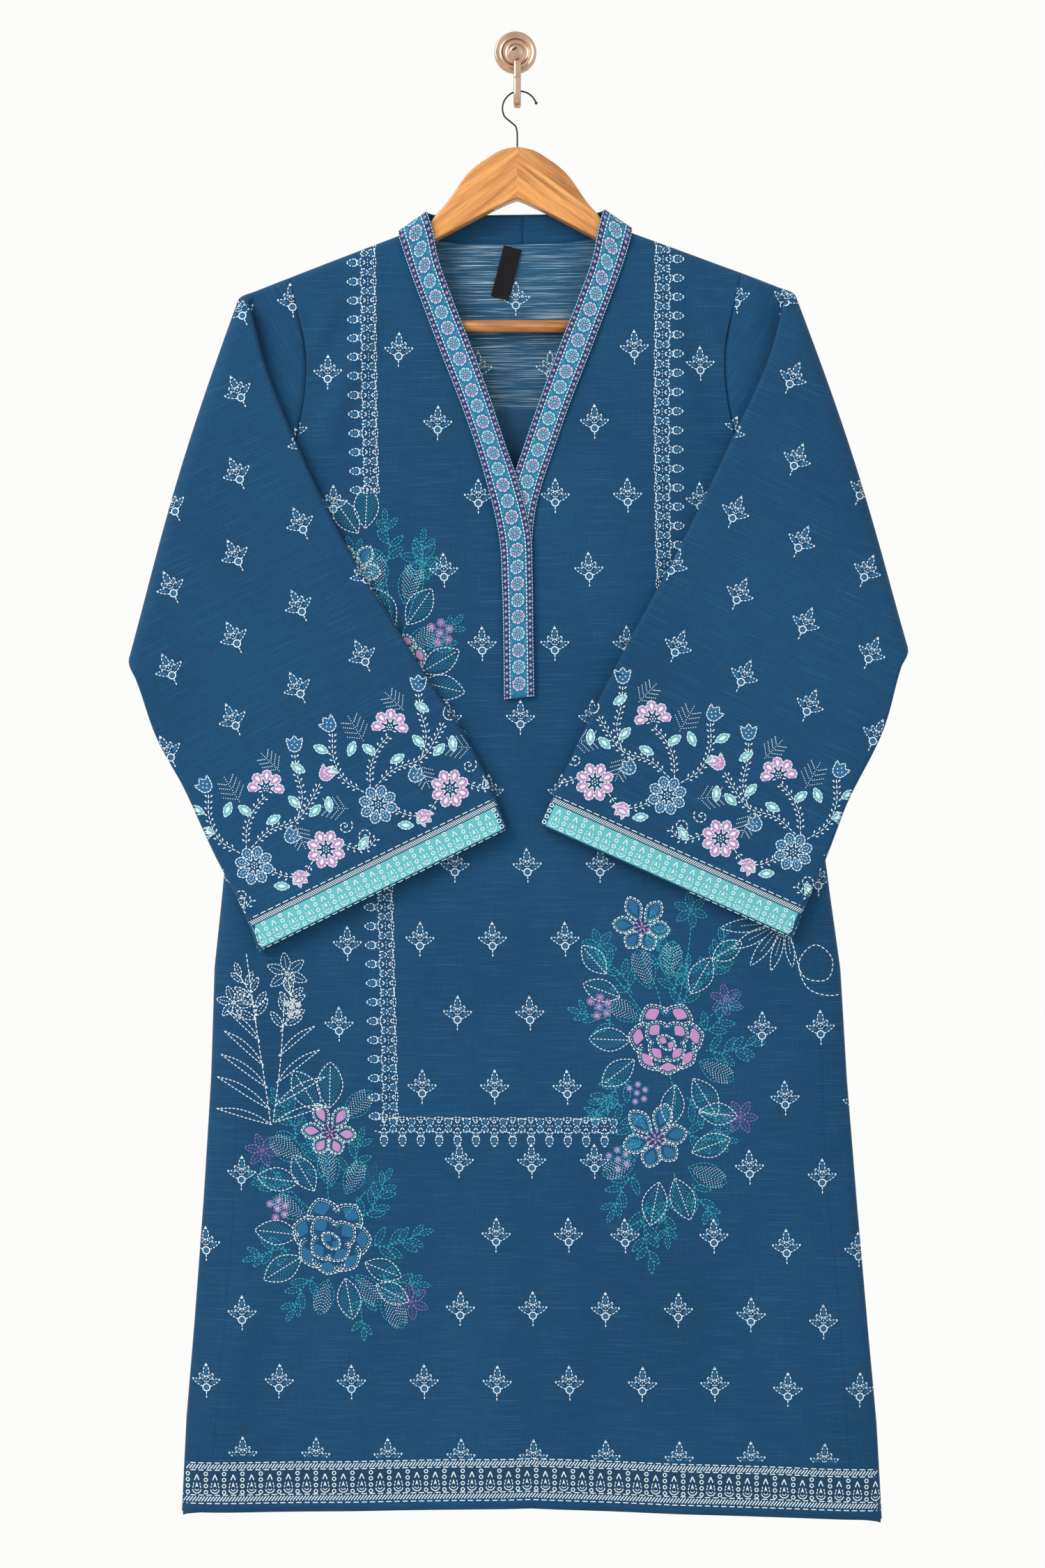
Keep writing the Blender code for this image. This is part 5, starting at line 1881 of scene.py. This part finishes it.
BUTI_STEP = (59.2, 60.24)  # mm across and up, from one row to the next
BUTI_FOOT = -1102.9  # height of the circles of row 0
BUTI_FIRST = (-28.1, 1.5)  # x of one circle in the even rows, and in the odd rows
HALF_WIDTH = 292.0  # of the prints of the skirt
HEM_ROOM = 40.5  # above the hem, where no flower is printed
HEM_DROP = 7.0 / 286.0  # of the hem, for each mm towards its sides
LADDER_TOP = (114.5, -150.0)
LADDER_FOOT = (109.6, -888.0)
LADDER_RUN = (-126.2, -881.6)  # where the run across their feet starts
LADDER_PITCH = (27.35, 26.42)  # of the long runs and of the one across
LADDER_SIDES = (100.0, 140.0)  # between these distances from the middle a long run lies
LADDER_LOW = -915.0  # above this height it takes the flowers' room
NECK_FOOT = -400.0
# Centre x, z and reach x, z, on the flat pattern: free of the repeating flower.
BOUQUET_ZONES = (
    (-98, -452, 40, 84), (112, -820, 66, 146), (218, -734, 54, 40),
    (-214, -800, 60, 118), (-144, -960, 84, 104),
)
# Flowers that stand off the lattice, from the middles of their circles.
OWN_PLACES = ((190.4, -814), (-154.3, -811), (-153, -277.5), (151, -273.5), (-131, -443))
# x and z on the lattice, and how far that flower stands aside.
NUDGES = ((60.7, -922.2, -8), (90.3, -982.4, -13.2))
# What the bouquets and the sleeves cover of the ladders: lowest x, z and highest x, z.
LADDER_GAPS = ((80, -2000, 400, -640), (-400, -620, 0, -372))


def lattice(rows: range) -> Array:
    """Places of the repeating flower on the flat pattern: even rows stand half a step aside.

    Args:
        rows: the rows, counted from the hem upwards.

    Returns:
        The places, a row each.
    """
    places = []
    for row in rows:
        columns = np.arange(-6, 7) * BUTI_STEP[0] + BUTI_FIRST[row % 2]
        places.append(row_of(columns[np.abs(columns) < HALF_WIDTH], BUTI_FOOT + BUTI_STEP[1] * row))
    return np.concatenate(places)


def butis(places: Array) -> Drawing:
    """The repeating flower at some places, each a little turned, the same on every run.

    Args:
        places: where they stand.

    Returns:
        The drawing, on the flat pattern.
    """
    d = Drawing()
    d.add(make_buti(), places, 1.5 * np.sin(places[:, 0] * 0.7 + places[:, 1] * 1.3), UNIT)
    return d


def ladder_frame() -> Drawing:
    """The ladder border round the middle of the front: two long runs and one across, drops outwards.

    Returns:
        The drawing, on the flat pattern.
    """
    d = Drawing()
    for side in (-1, 1):
        top = np.array(LADDER_TOP) * (side, 1)
        foot = np.array(LADDER_FOOT) * (side, 1) + (1.2 - 1.2 * side, 0)
        count = int(np.hypot(*(top - foot)) / (LADDER_PITCH[0] * UNIT))
        run = make_ladder(count, LADDER_PITCH[0]).moved(lambda p: p * (1, -side))
        d.add(run, foot, math.degrees(math.atan2(*(top - foot)[::-1])), UNIT)
    d.add(make_ladder(13, LADDER_PITCH[1]).moved(lambda p: p * (1, -1)), LADDER_RUN, 0.0, UNIT)
    return d


def in_gap(points: Array) -> Array:
    """Which places of the ladders are covered."""
    return np.any([((points > gap[:2]) & (points < gap[2:])).all(axis=1) for gap in LADDER_GAPS], axis=0)


def buti_places() -> Array:
    """Where the flower repeats on the front: lower beside the ladders, and spread at the neck.

    Returns:
        The places, without those under the ladders, the bouquets and the shoulders' folds.
    """
    places = lattice(range(-1, 15))
    x, z = places.T
    outside, at_neck = np.abs(x) > LADDER_SIDES[1], z > NECK_FOOT
    dropped = outside & ((z > -270) | ((np.abs(z + 801) < 10) & (np.abs(x) < 180)))
    on_ladder = (np.abs(x) > LADDER_SIDES[0]) & ~outside & (z > LADDER_LOW)
    in_bouquet = np.any([np.hypot(*((places - zone[:2]) / zone[2:]).T) < 1 for zone in BOUQUET_ZONES], axis=0)
    aside = np.clip(np.where(x > 0, x - 150.0, -x - 120.0) / 80.0, 0.0, 1.0)
    sunk = ease((z + np.where(x > 0, 1180.0, 1130.0)) / 195.0)
    lower = -11.0 * aside * sunk * (z < -500) - 4.0 * outside * at_neck
    spread = np.where(x > 20, 7.0, np.where(x < -20, -5.0, 0.0)) * ease((z - NECK_FOOT) / 150.0)
    spread += np.where((x < -20) & at_neck, -3.0, 0.0) - 3.0 * ((z > -600) & (z < -440))
    for at_x, at_z, nudge in NUDGES:
        spread += nudge * (np.hypot(x - at_x, z - at_z) < 5.0)
    moved = places + np.stack([spread, lower], axis=1)
    return np.concatenate([moved[~dropped & ~on_ladder & ~in_bouquet], OWN_PLACES])


def skirt_print(places: Array, hem: float, *others: Drawing) -> Drawing:
    """The repeats of the front or the back, hung.

    Args:
        places: where the flower repeats.
        hem: height of the hem's middle, from which the border drops with the hem to the sides.
        others: what else is printed.

    Returns:
        The drawing, as it hangs.
    """
    d, border = Drawing(), Drawing()
    border.add(make_hem_border(HALF_WIDTH / UNIT), (0.0, hem), 0.0, UNIT)
    border = border.moved(lambda p: p - np.stack([0 * p[..., 0], np.abs(p[..., 0]) * HEM_DROP], axis=-1))
    for drawing in (butis(places).kept(lambda p: p[:, 1] > hem + HEM_ROOM), border, *others):
        d.add(drawing)
    return d.moved(HANG.place)


def inside_print() -> Drawing:
    """The flowers that show on the inside of the back, in the neck.

    Returns:
        The drawing, as it hangs.
    """
    d = Drawing()
    d.add(make_buti(), [(0.4, -215.8), (-30.7, -272.9), (28.5, -272.9)], 0.0, UNIT)
    return d.moved(HANG.place)


def slit_stitches() -> Drawing:
    """The running stitch of the side slits' hems, as they hang.

    Returns:
        The drawing, as it hangs.
    """
    d = Drawing()
    for path in (((-226.6, -831.7), (-231.1, -972.3), (-233.7, -1005.7), (-247.0, -1163.9)),
                 ((242.3, -712.0), (249.1, -820.9), (255.4, -950.7), (259.3, -988.7), (275.2, -1201.9))):
        d.curve(SEAM, path, 40, 0.55, 2.3, 0.9)
    return d


def cap_print(side: Side) -> Drawing:
    """The repeating flower on the back of a sleeve's upper part, turned along it, as it hangs.

    Args:
        side: the side of the sleeve.

    Returns:
        The drawing, as it hangs.
    """
    turn, middle = -18.4, (-232.0, -336.0)
    rows = []
    for row in range(-4, 4):
        rows.append(row_of((np.arange(-3, 4) + (row % 2) / 2) * BUTI_STEP[0], row * BUTI_STEP[1]))
    c, s = math.cos(math.radians(turn)), math.sin(math.radians(turn))
    places = np.concatenate(rows) @ np.array([(c, s), (-s, c)]) + middle
    places = places[(places[:, 1] < -215) & (places[:, 1] > -505)]
    d = Drawing()
    d.add(make_buti(), places * (-side.value, 1), -side.value * turn, UNIT)
    return d


# Bunches of large flowers on the front, on the flat pattern.
BOUQUETS = (
    Bunch(TEAL, (
        ((94, -751), (105, -776), (110, -797)),
        ((134, -726), (129, -760), (120, -797)),
        ((58, -751), (79, -776), (97, -801)),
        ((157, -791), (145, -801), (132, -810)),
        ((115, -847), (119, -868), (113, -882)),
        ((169, -882), (148, -876), (131, -870)),
        ((118, -926), (114, -951), (102, -971)),
    ), (
        (make_spray, TEAL, ((120, -780, 8, 46), (85, -780, 35, 44), (145, -768, -28, 48),
            (141, -812, -48, 44), (144, -826, -86, 48), (83, -851, 128, 46), (78, -870, 108, 34),
            (132, -934, -152, 36), (86, -926, 146, 44), (95, -949, 180, 58), (106, -760, 0, 46),
            (70, -806, 66, 36), (128, -864, -128, 44), (92, -876, 158, 42), (126, -892, -104, 42),
            (124, -792, -14, 42), (112, -944, 176, 40))),
        (make_stitched_leaf, TEAL, ((100, -776, 18, 34), (115, -768, -8, 32), (92, -801, 62, 30),
            (139, -835, -118, 32), (129, -921, -112, 34), (86, -915, 116, 30))),
        (make_stitched_leaf, WHITE, ((75, -783, 70, 32), (133, -780, -30, 34), (64, -764, 40, 30),
            (151, -752, -60, 28), (83, -818, 88, 34), (86, -834, 128, 34), (119, -854, 172, 34),
            (134, -849, -148, 36), (138, -876, -96, 32), (132, -909, -70, 34), (118, -930, -160, 36),
            (105, -933, 168, 36))),
        (make_lily, SKY, ((94, -726, 6, 27), (103, -898, 26, 31))),
        (make_star, TEAL, ((134, -712, 0, 15), (59, -741, 10, 15))),
        (make_cluster, VIOLET, ((58, -791, 0, 13),)),
        (make_star, VIOLET, ((161, -785, 0, 14), (172, -880, 20, 15))),
        (make_peony, LILAC, ((113, -820, 10, 34),)),
        (make_cluster, SKY, ((88, -861, 0, 12), (72, -915, 12, 13))),
    )),
    Bunch(TEAL, (
        ((-163, -917), (-165, -936), (-164, -953)),
        ((-215, -920), (-197, -940), (-178, -959)),
        ((-134, -942), (-143, -953), (-151, -963)),
        ((-147, -1011), (-127, -1023), (-106, -1032)),
    ), (
        (make_stitched_leaf, WHITE, ((-172, -876, 32, 38), (-163, -874, -2, 38), (-189, -935, 82, 34),
            (-176, -942, 30, 34), (-189, -978, 84, 36), (-187, -996, 122, 36), (-135, -1000, -112, 32),
            (-151, -1013, -170, 34), (-126, -1018, -118, 30))),
        (make_stitched_leaf, TEAL, ((-151, -882, -46, 32), (-183, -917, 58, 34), (-162, -938, 8, 32),
            (-150, -944, -26, 30), (-183, -964, 58, 32), (-142, -1010, -142, 32), (-165, -1014, 165, 30),
            (-120, -1024, -152, 34))),
        (make_spray, TEAL, ((-190, -903, 20, 48), (-139, -965, -36, 48), (-131, -986, -80, 52),
            (-177, -1012, 145, 40), (-136, -1027, 176, 32), (-168, -934, 16, 40), (-150, -930, -24, 40),
            (-196, -952, 48, 40), (-196, -990, 100, 36), (-124, -1010, -106, 40))),
        (make_lily, LILAC, ((-163, -894, 8, 26),)),
        (make_star, VIOLET, ((-218, -909, 12, 15), (-98, -1032, 0, 16))),
        (make_star, SKY, ((-131, -932, 30, 15),)),
        (make_peony, SKY, ((-162, -983, 0, 36),)),
        (make_cluster, VIOLET, ((-206, -957, 0, 12),)),
    )),
    Bunch(TEAL, (
        ((-79, -439), (-87, -462), (-97, -491)),
        ((-134, -458), (-118, -478), (-102, -499)),
        ((-109, -433), (-106, -462), (-102, -491)),
    ), (
        (make_stitched_leaf, WHITE, ((-130, -404, 34, 34), (-124, -400, -4, 36), (-141, -422, 62, 30),
            (-102, -480, 30, 36), (-92, -479, -36, 36), (-81, -518, -60, 36), (-81, -526, -104, 36),
            (-87, -532, -150, 32))),
        (make_spray, TEAL, ((-108, -431, -4, 44), (-113, -470, 22, 38), (-78, -541, -142, 46),
            (-122, -446, 20, 40), (-84, -446, -14, 44), (-76, -500, -50, 38), (-104, -494, 30, 40))),
        (make_lily, SKY, ((-133, -435, 10, 25),)),
        (make_stitched_leaf, TEAL, ((-113, -451, 8, 32), (-94, -462, -20, 36), (-93, -499, -60, 32))),
        (make_star, TEAL, ((-79, -426, 10, 18),)),
        (make_cluster, VIOLET, ((-65, -486, 0, 14),)),
        (make_peony, LILAC, ((-98, -511, 20, 25),)),
    )),
    Bunch(WHITE, (
        ((-211, -888), (-216, -849), (-222, -807), (-229, -748)),
        ((-209, -886), (-203, -841), (-198, -780)),
    ), (
        (make_reed, WHITE, ((-210, -888, 62, -46), (-208, -886, -60, 44), (-211, -876, 46, -50),
            (-207, -872, -48, 46), (-213, -858, 42, -46), (-206, -854, -40, 44), (-216, -840, 36, -42),
            (-204, -832, -38, 38), (-219, -820, 34, -36))),
        (make_spray, WHITE, ((-222, -806, 14, 52), (-202, -812, -16, 48))),
        (make_star, WHITE, ((-196, -764, 0, 18), (-240, -788, 12, 15))),
        (make_cluster, WHITE, ((-192, -792, 0, 9),)),
    )),
    Bunch(WHITE, (
        ((204, -714), (216, -739), (228, -768), (245, -768), (249, -752), (235, -740), (222, -752),
         (228, -775), (257, -780), (273, -764), (283, -743), (300, -729)),
    ), (
        (make_plain_leaf, WHITE, ((204, -724, 118, 42), (203, -722, 96, 46), (206, -726, 142, 40),
            (209, -729, 162, 34), (212, -729, -172, 30), (192, -706, 80, 40))),
    )),
)
# One repeat of the band of flowers above a cuff: x runs along the cuff, z up the sleeve.
BAND_REPEAT = Bunch(WHITE, (
    ((26, 81), (34, 96), (48, 108), (58, 112)),
    ((20, 80), (10, 96), (10, 116), (18, 134)),
    ((30, 80), (50, 86), (74, 84), (92, 94), (103, 102)),
    ((74, 84), (86, 100), (90, 118), (95, 132)),
    ((70, 48), (58, 42), (46, 46), (38, 54)),
    ((98, 50), (106, 42), (114, 38), (124, 42)),
), (
    (make_daisy, SKY, ((26, 66, 6, 16),)),
    (make_daisy, LILAC, ((84, 52, 0, 16),)),
    (make_half_daisy, LILAC, ((62, 118, -30, 15.5),)),
    (make_bell, SKY, ((20, 136, 14, 14), (96, 134, -24, 14), (58, 72, -70, 14))),
    (make_bell, LILAC, ((106, 104, -60, 14), (52, 46, -150, 14))),
    (make_leaf, AQUA, ((9, 104, 62, 12.5), (22, 112, -48, 12.5), (8, 122, 40, 12.5),
        (42, 104, 30, 12.5), (50, 92, -86, 12.5), (80, 92, 20, 12.5), (84, 82, -70, 12.5),
        (96, 116, 34, 12.5), (100, 78, -20, 12.5), (60, 40, 96, 12.5), (44, 38, 60, 12.5),
        (108, 40, -60, 12.5))),
    (make_fern, WHITE, ((38, 118, 6, 23), (70, 80, 178, 20), (2, 74, 60, 22), (78, 126, 20, 20))),
    (make_curl, WHITE, ((6, 48, 0, 7), (106, 62, 120, 6.5))),
), seeds=True)


@dataclass(frozen=True)
class SleevePlan:
    """Where the prints of a folded sleeve lie: along its cuff, and up it.

    Args:
        origin: x and z of the end of its cuff that the distances are counted from.
        along: unit vector along the cuff.
        upward: unit vector up the sleeve.
        cuff: the cuff's length.
        cap_flower: x and z of the flower at the top of the armhole.
        strip: height of the pale border.
        past: how far the borders run on past the cuff's ends.
        repeat: length of one repeat of the flower band.
    """

    origin: Pair
    along: Pair
    upward: Pair
    cuff: float
    cap_flower: Pair
    strip: float = 20.4
    past: float = 12.0
    repeat: float = 112.0

    def drawing(self) -> Drawing:
        """The cuff border, its dark strip, the flower band and the repeating flower above.

        Returns:
            The drawing, as the sleeve hangs.
        """
        d, column, hatch = Drawing(), Drawing(), Drawing()
        low, high, strip = -self.past, self.cuff + self.past, self.strip
        d.sheet(AQUA, (low, -6), (high, strip), 4.0)
        column.add(make_column(), scale=UNIT * 0.98)
        d.row(column, np.arange(low, high, 26.2 * UNIT), 1.6)
        d.sheet(NIGHT, (low, strip), (high, strip + 5.6), 4.0)
        hatch.stroke(WHITE, [(1.9, strip + 0.8), (0, strip + 4.6)], 0.75)
        d.row(hatch, np.arange(low, high, 1.65))
        d.stroke(WHITE, [(low, strip + 6.4), (high, strip + 6.4)], 0.8, 5.0, 1.8)
        d.stroke(WHITE, [(low, 0.3), (high, 0.3)], 0.6, 4.6, 2.0)
        rows = [row_of(5.8 + 58.6 * np.arange(-6, 6) + 30.3 * row, 172.5 + 59.3 * row) for row in range(6)]
        places = np.concatenate(rows)
        d.add(butis(places[(places[:, 0] > -14) & (places[:, 0] < self.cuff + 14)]))
        starts = np.arange(-self.repeat, self.cuff + self.repeat, self.repeat) + 2.0
        d.row(BAND_REPEAT.drawing(), starts, -2.0)
        d = d.moved(lambda p: p @ np.array([self.along, self.upward]) + self.origin)
        d.add(make_buti(), self.cap_flower, 6.0, UNIT)
        return d


BEFORE, BEHIND = -200.0, 50.0  # y in front of all the cloth, and behind it
FRONT = BodyPanel(True, ((88, -157), (76, -200), (62, -233), (48, -271), (32, -311),
                         (15, -365), (7, -403), (0, -430), (0, -470)), -1200, -1207)
BACK = BodyPanel(False, ((0, -166), (45, -165), (75, -160.5), (88, -157), (184, -193)),
                 -1205, -1212)
SLEEVES = (
    (Sleeve(Side.LEFT, (-210.4, -205.3), (-297.4, -503.4), (-91, -300),
            ((-204, -268.3), (-174.6, -340.7), (-146.8, -399), (-83, -505), (-19.6, -612.2), (-7.1, -646.2)),
            ((-294.5, -563.6), (-267.9, -615), (-246.4, -662), (-217.6, -719.7), (-208.5, -745.2))),
     SleevePlan((-208.5, -745.2), (0.8974, 0.4411), (-0.4411, 0.8974), 224.4, (-182, -220.2))),
    (Sleeve(Side.RIGHT, (213, -202), (303, -496), (92, -296),
            ((208.4, -258), (176.2, -330), (141.7, -401.8), (76, -525.7), (29.1, -624.1), (20.6, -642.8)),
            ((303.5, -550.6), (267.8, -629.2), (252.5, -669.4), (235, -710.1), (224.8, -734.4))),
     SleevePlan((224.8, -734.4), (-0.9126, 0.4089), (0.4089, 0.9126), 223.7, (180.4, -217))),
)
BANDS = (
    NeckBand(Side.LEFT, ((-6.5, -337, -30, -341), (0.5, -357, -23.8, -363), (7, -379, -17.2, -388),
                      (12.5, -403, -12.9, -411), (14.2, -440, -10.9, -446), (14.8, -490, -9.8, -492),
                      (15.5, -538, -9.2, -540.5))),
    NeckBand(Side.RIGHT, ((6.5, -335, 30, -341), (-0.5, -356, 22.5, -363), (-6, -376, 17, -384),
                       (-9, -400, 14.2, -406), (-9.2, -440, 13.4, -442), (-8.6, -490, 13.8, -490),
                       (-8, -535, 14.6, -535))),
)


# ---------------------------------------------------------------- the hanger and the wall hook


@dataclass(frozen=True)
class Hanger:
    """Two wooden arms in a butt joint, a round bar between their ends, and a hook of bent wire.

    The bar has its radius, height and half its length; the loop of the wire x and z of its middle, its radius
    and both its angles in degrees; the ball its radius and its gap from the wire. The rows of the top and
    the bottom are x from the joint, and z.
    """

    centre_x: float = 1.5
    plane_y: float = -40.0
    thickness: float = 14.0
    bevel: float = 2.0
    joint_lap: float = 1.7
    grain_turn: float = -37.0
    bar: Triple = (5.0, -234.4, 179.6)
    wire_radius: float = 0.7
    loop: tuple[float, float, float, float, float] = (3.6, -56.0, 14.1, 24.0, 204.0)
    stem: tuple = ((-3.6, -67.2), (0.2, -70.6), (1.4, -75), (1.6, -81), (1.6, -88))
    ball: Pair = (1.25, 0.2)
    top: tuple = (
        (0, -88.4), (14, -91.7), (25, -98.3), (33.5, -104.2), (41, -111.2), (47.5, -119.6),
        (52.5, -127.2), (59.5, -136.6), (65, -142.6), (70.5, -149.6), (80, -161), (90, -168),
        (102, -171.5), (120, -177), (179, -197.8), (189, -202.2), (194.5, -208.5),
    )
    bottom: tuple = (
        (195.5, -219), (194, -232), (188, -240.5), (179, -243.5), (168, -237.5),
        (146, -216), (108, -189.5), (68.2, -165.4), (43.4, -152), (21.2, -140.4), (0, -130.6),
    )

    def arm(self, side: Side) -> None:
        """Makes one arm: its outline is the smooth curve through both tables, cut off beside the joint.

        Args:
            side: the side of the arm.
        """
        sign = side.value
        half = np.concatenate([smooth_rows(self.top, 4), smooth_rows(self.bottom, 4)])
        half[:, 0] = np.where(half[:, 0] < 0.2, -self.joint_lap, half[:, 0])
        outline = np.insert(half * (sign, 1) + (self.centre_x, 0), 1, self.plane_y, axis=1)
        finish = WoodFinish(f"hanger_wood_{side}", WOOD, self.grain_turn * sign)
        plate(f"kameez_hanger_{side}", outline[::-sign], finish, f"hanger_arm_{side}",
              self.thickness, self.bevel)

    def build(self) -> None:
        """Makes all the hanger's pieces."""
        for side in Side:
            self.arm(side)
        radius, height, half = self.bar
        rod = [(0, -half), (radius, -half), (radius, half), (0, half)]
        mesh = lathe("hanger_bar", rod, Vector((self.centre_x, self.plane_y, height)), Vector((1, 0, 0)), 48)
        finish = WoodFinish("hanger_wood_bar", WOOD)
        add_piece("kameez_hanger_bar", mesh, [finish], "trouser_bar")
        x, z, radius, start, end = self.loop
        path = np.concatenate([arc((x, z), radius, start, end, 45), self.stem])
        path = np.insert(smooth_path(path, np.linspace(0, 1, 120)), 1, self.plane_y, axis=1)
        wire = tube("hanger_wire", path, self.wire_radius)
        add_piece("kameez_hanger_wire", wire, [WIRE], "hanger_hook")
        way = Vector(path[0] - path[1]).normalized()
        ball, gap = self.ball
        centre = Vector(path[0]) + way * (ball + gap)
        mesh = lathe("hanger_ball", arc((0, 0), ball, -90, 90, 16), centre, way, 32)
        add_piece("kameez_hanger_ball", mesh, [WIRE], "hook_ball")


@dataclass(frozen=True)
class WallHook:
    """A turned rosette, a post that slants down from it, and a J with a round belly.

    The profiles are radius and height. The slot in the post's end stands aside and up from its axis, and has
    its length, its slant in radians and its width. The rod and the tip of the J each have their back and
    front y; the heights are of its top, its tip, its trough and its bottom.
    """

    rosette: tuple = ((0, 4.2), (6, 4.2), (7.6, 3), (9.6, 2.7), (11, 3.4), (11.6, 4.3), (12.3, 4.3),
                      (13, 3.9), (15.4, 4.4), (16.6, 4.3), (17.2, 3.7), (17.5, 2.2), (17.5, 0), (0, 0))
    post: tuple = ((0, 29), (5.2, 29), (5.8, 28.6), (6, 27.9), (6, 20), (5.6, 18.6), (4.6, 17.6),
                   (4.2, 16), (4.2, 2), (5.2, 0), (0, 0))
    post_base: Triple = (-0.8, -5.2, 0.0)
    post_end: Triple = (0.9, -34.0, -8.9)
    slot: tuple[float, float, float, float, float] = (-1.5, 3.3, 3.2, 0.54, 1.4)
    arm_x: float = 1.6
    arm_width: float = 6.0
    arm_bevel: float = 1.8
    rod: Pair = (-28.7, -35.0)
    tip: Pair = (-44.0, -50.0)
    heights: tuple[float, float, float, float] = (-14.5, -34.6, -44.3, -55.5)

    def arm_outline(self) -> Array:
        """Side view of the J: the rod, the trough, the tip and the belly, each curve half a circle.

        Returns:
            The outline in mm, x, y and z of each corner.
        """
        back, front = self.rod
        tip_back, tip_front = self.tip
        top, tip_z, trough_z, bottom_z = self.heights
        trough, belly, tip = (front - tip_back) / 2, (back - tip_front) / 2, (tip_back - tip_front) / 2
        outline = np.concatenate([
            [(back, top), (front, top)],
            arc(((front + tip_back) / 2, trough_z + trough), trough, 0, -180, 24),
            arc(((tip_back + tip_front) / 2, tip_z), tip, 0, 180, 16),
            arc(((back + tip_front) / 2, bottom_z + belly), belly, -180, 0, 36)])
        return np.insert(outline, 0, self.arm_x, axis=1)

    def build(self) -> None:
        """Makes the hook's three pieces, and a near-black rod of painted shade where the slot in the end of
        its post lies.
        """
        rounded = smooth_path(self.rosette[:-2], np.linspace(0, 1, 60))
        profile = np.concatenate([rounded, self.rosette[-2:]])
        mesh = lathe("hook_rosette", profile, Vector(), Vector((0, -1, 0)))
        add_piece("kameez_hook_rosette", mesh, [NICKEL], "rosette")
        base = Vector(self.post_base)
        way = Vector(self.post_end) - base
        mesh = lathe("hook_post", self.post, base, way, 64)
        add_piece("kameez_hook_post", mesh, [NICKEL], "hook_post")
        plate("kameez_hook_arm", self.arm_outline(), NICKEL, "hook_arm", self.arm_width, self.arm_bevel)
        aside, up, length, slant, width = self.slot
        unit = way.normalized()
        across = (Vector((1, 0, 0)) - unit * unit.x).normalized()
        upward = unit.cross(across)
        middle = base + unit * self.post[0][1] + across * aside + upward * up
        half = (across * math.cos(slant) + upward * math.sin(slant)) * length / 2
        # The slot is not cut into the post: this dark rod is painted shade for its hollow.
        mesh = tube("hook_slot", np.array([middle - half, middle, middle + half]), width / 2, 12)
        add_piece("kameez_hook_slot", mesh, [SLOT_SHADE])


# ---------------------------------------------------------------- the stage


@dataclass(frozen=True)
class Stage:
    """A plain pale floor, soft light, and the camera that looks straight at the hanging tunic, in metres."""

    floor_z: float = -1.75
    floor_half: float = 1.2
    light_size: float = 1.8
    light_aim: Triple = (0.0, -0.03, -0.62)
    camera_place: Triple = (0.0059, -2.255, -0.6094)
    lens: float = 62.08

    def floor(self) -> None:
        """Makes the floor."""
        half = self.floor_half
        mesh = bpy.data.meshes.new("floor")
        corners = [(x * half, y * half, self.floor_z) for x, y in ((-1, -1), (1, -1), (1, 1), (-1, 1))]
        mesh.from_pydata(corners, [], [(0, 1, 2, 3)])
        mesh.materials.append(Finish("floor", (0.80, 0.80, 0.79)).make())
        link("floor", mesh)

    def light(self, name: str, place: Sequence[float], power: float) -> None:
        """Adds one square soft light.

        Args:
            name: its name.
            place: where it stands.
            power: its power in watts.
        """
        lamp = bpy.data.lights.new(name, "AREA")
        lamp.energy, lamp.size = power, self.light_size
        piece = link(name, lamp)
        piece.location = place
        piece.rotation_euler = (Vector(self.light_aim) - Vector(place)).to_track_quat("-Z", "Y").to_euler()

    def build(self) -> None:
        """Sets the whole stage."""
        self.floor()
        world = bpy.data.worlds.new("studio")
        world.use_nodes = True
        graph = Graph(world.node_tree)
        sky = graph.add("Background", {"Color": (0.974, 0.974, 0.957, 1.0), "Strength": 1.0})
        graph.add("OutputWorld", {"Surface": sky.outputs[0]})
        scene = bpy.context.scene
        scene.world = world
        scene.view_settings.view_transform = "Standard"
        self.light("key", (-2.1, -2.0, 1.1), 90.0)
        self.light("fill", (1.9, -2.0, -0.3), 6.0)
        camera = bpy.data.cameras.new("camera")
        camera.lens = self.lens
        camera.sensor_width = 36.0
        eye = link("camera", camera)
        eye.location = self.camera_place
        eye.rotation_euler = (math.radians(90), 0.0, 0.0)
        scene.camera = eye


def main() -> None:
    """Builds every piece in order."""
    logging.basicConfig(level=logging.INFO, format="%(message)s")
    Stage().build()
    Hanger().build()
    WallHook().build()
    back_print = skirt_print(lattice(range(-1, 16)), BACK.hem_middle)
    BACK.build(Prints([("print", back_print, BEHIND, False), ("inside", inside_print(), HANG.plane_y, True)]))
    extras = [ladder_frame().kept(lambda p: ~in_gap(p)), *(bunch.drawing() for bunch in BOUQUETS)]
    front_print = skirt_print(buti_places(), FRONT.hem_middle, *extras)
    FRONT.build(Prints([("print", front_print, BEFORE, True), ("seam", slit_stitches(), BEFORE, True)]))
    for sleeve, plan in SLEEVES:
        cap = cap_print(sleeve.side)
        sleeve.build(Prints([("print", plan.drawing(), BEFORE, True), ("cap", cap, BEHIND, False)]))
    for band in BANDS:
        band.build()
    NeckLabel().build()


if __name__ == "__main__":
    main()
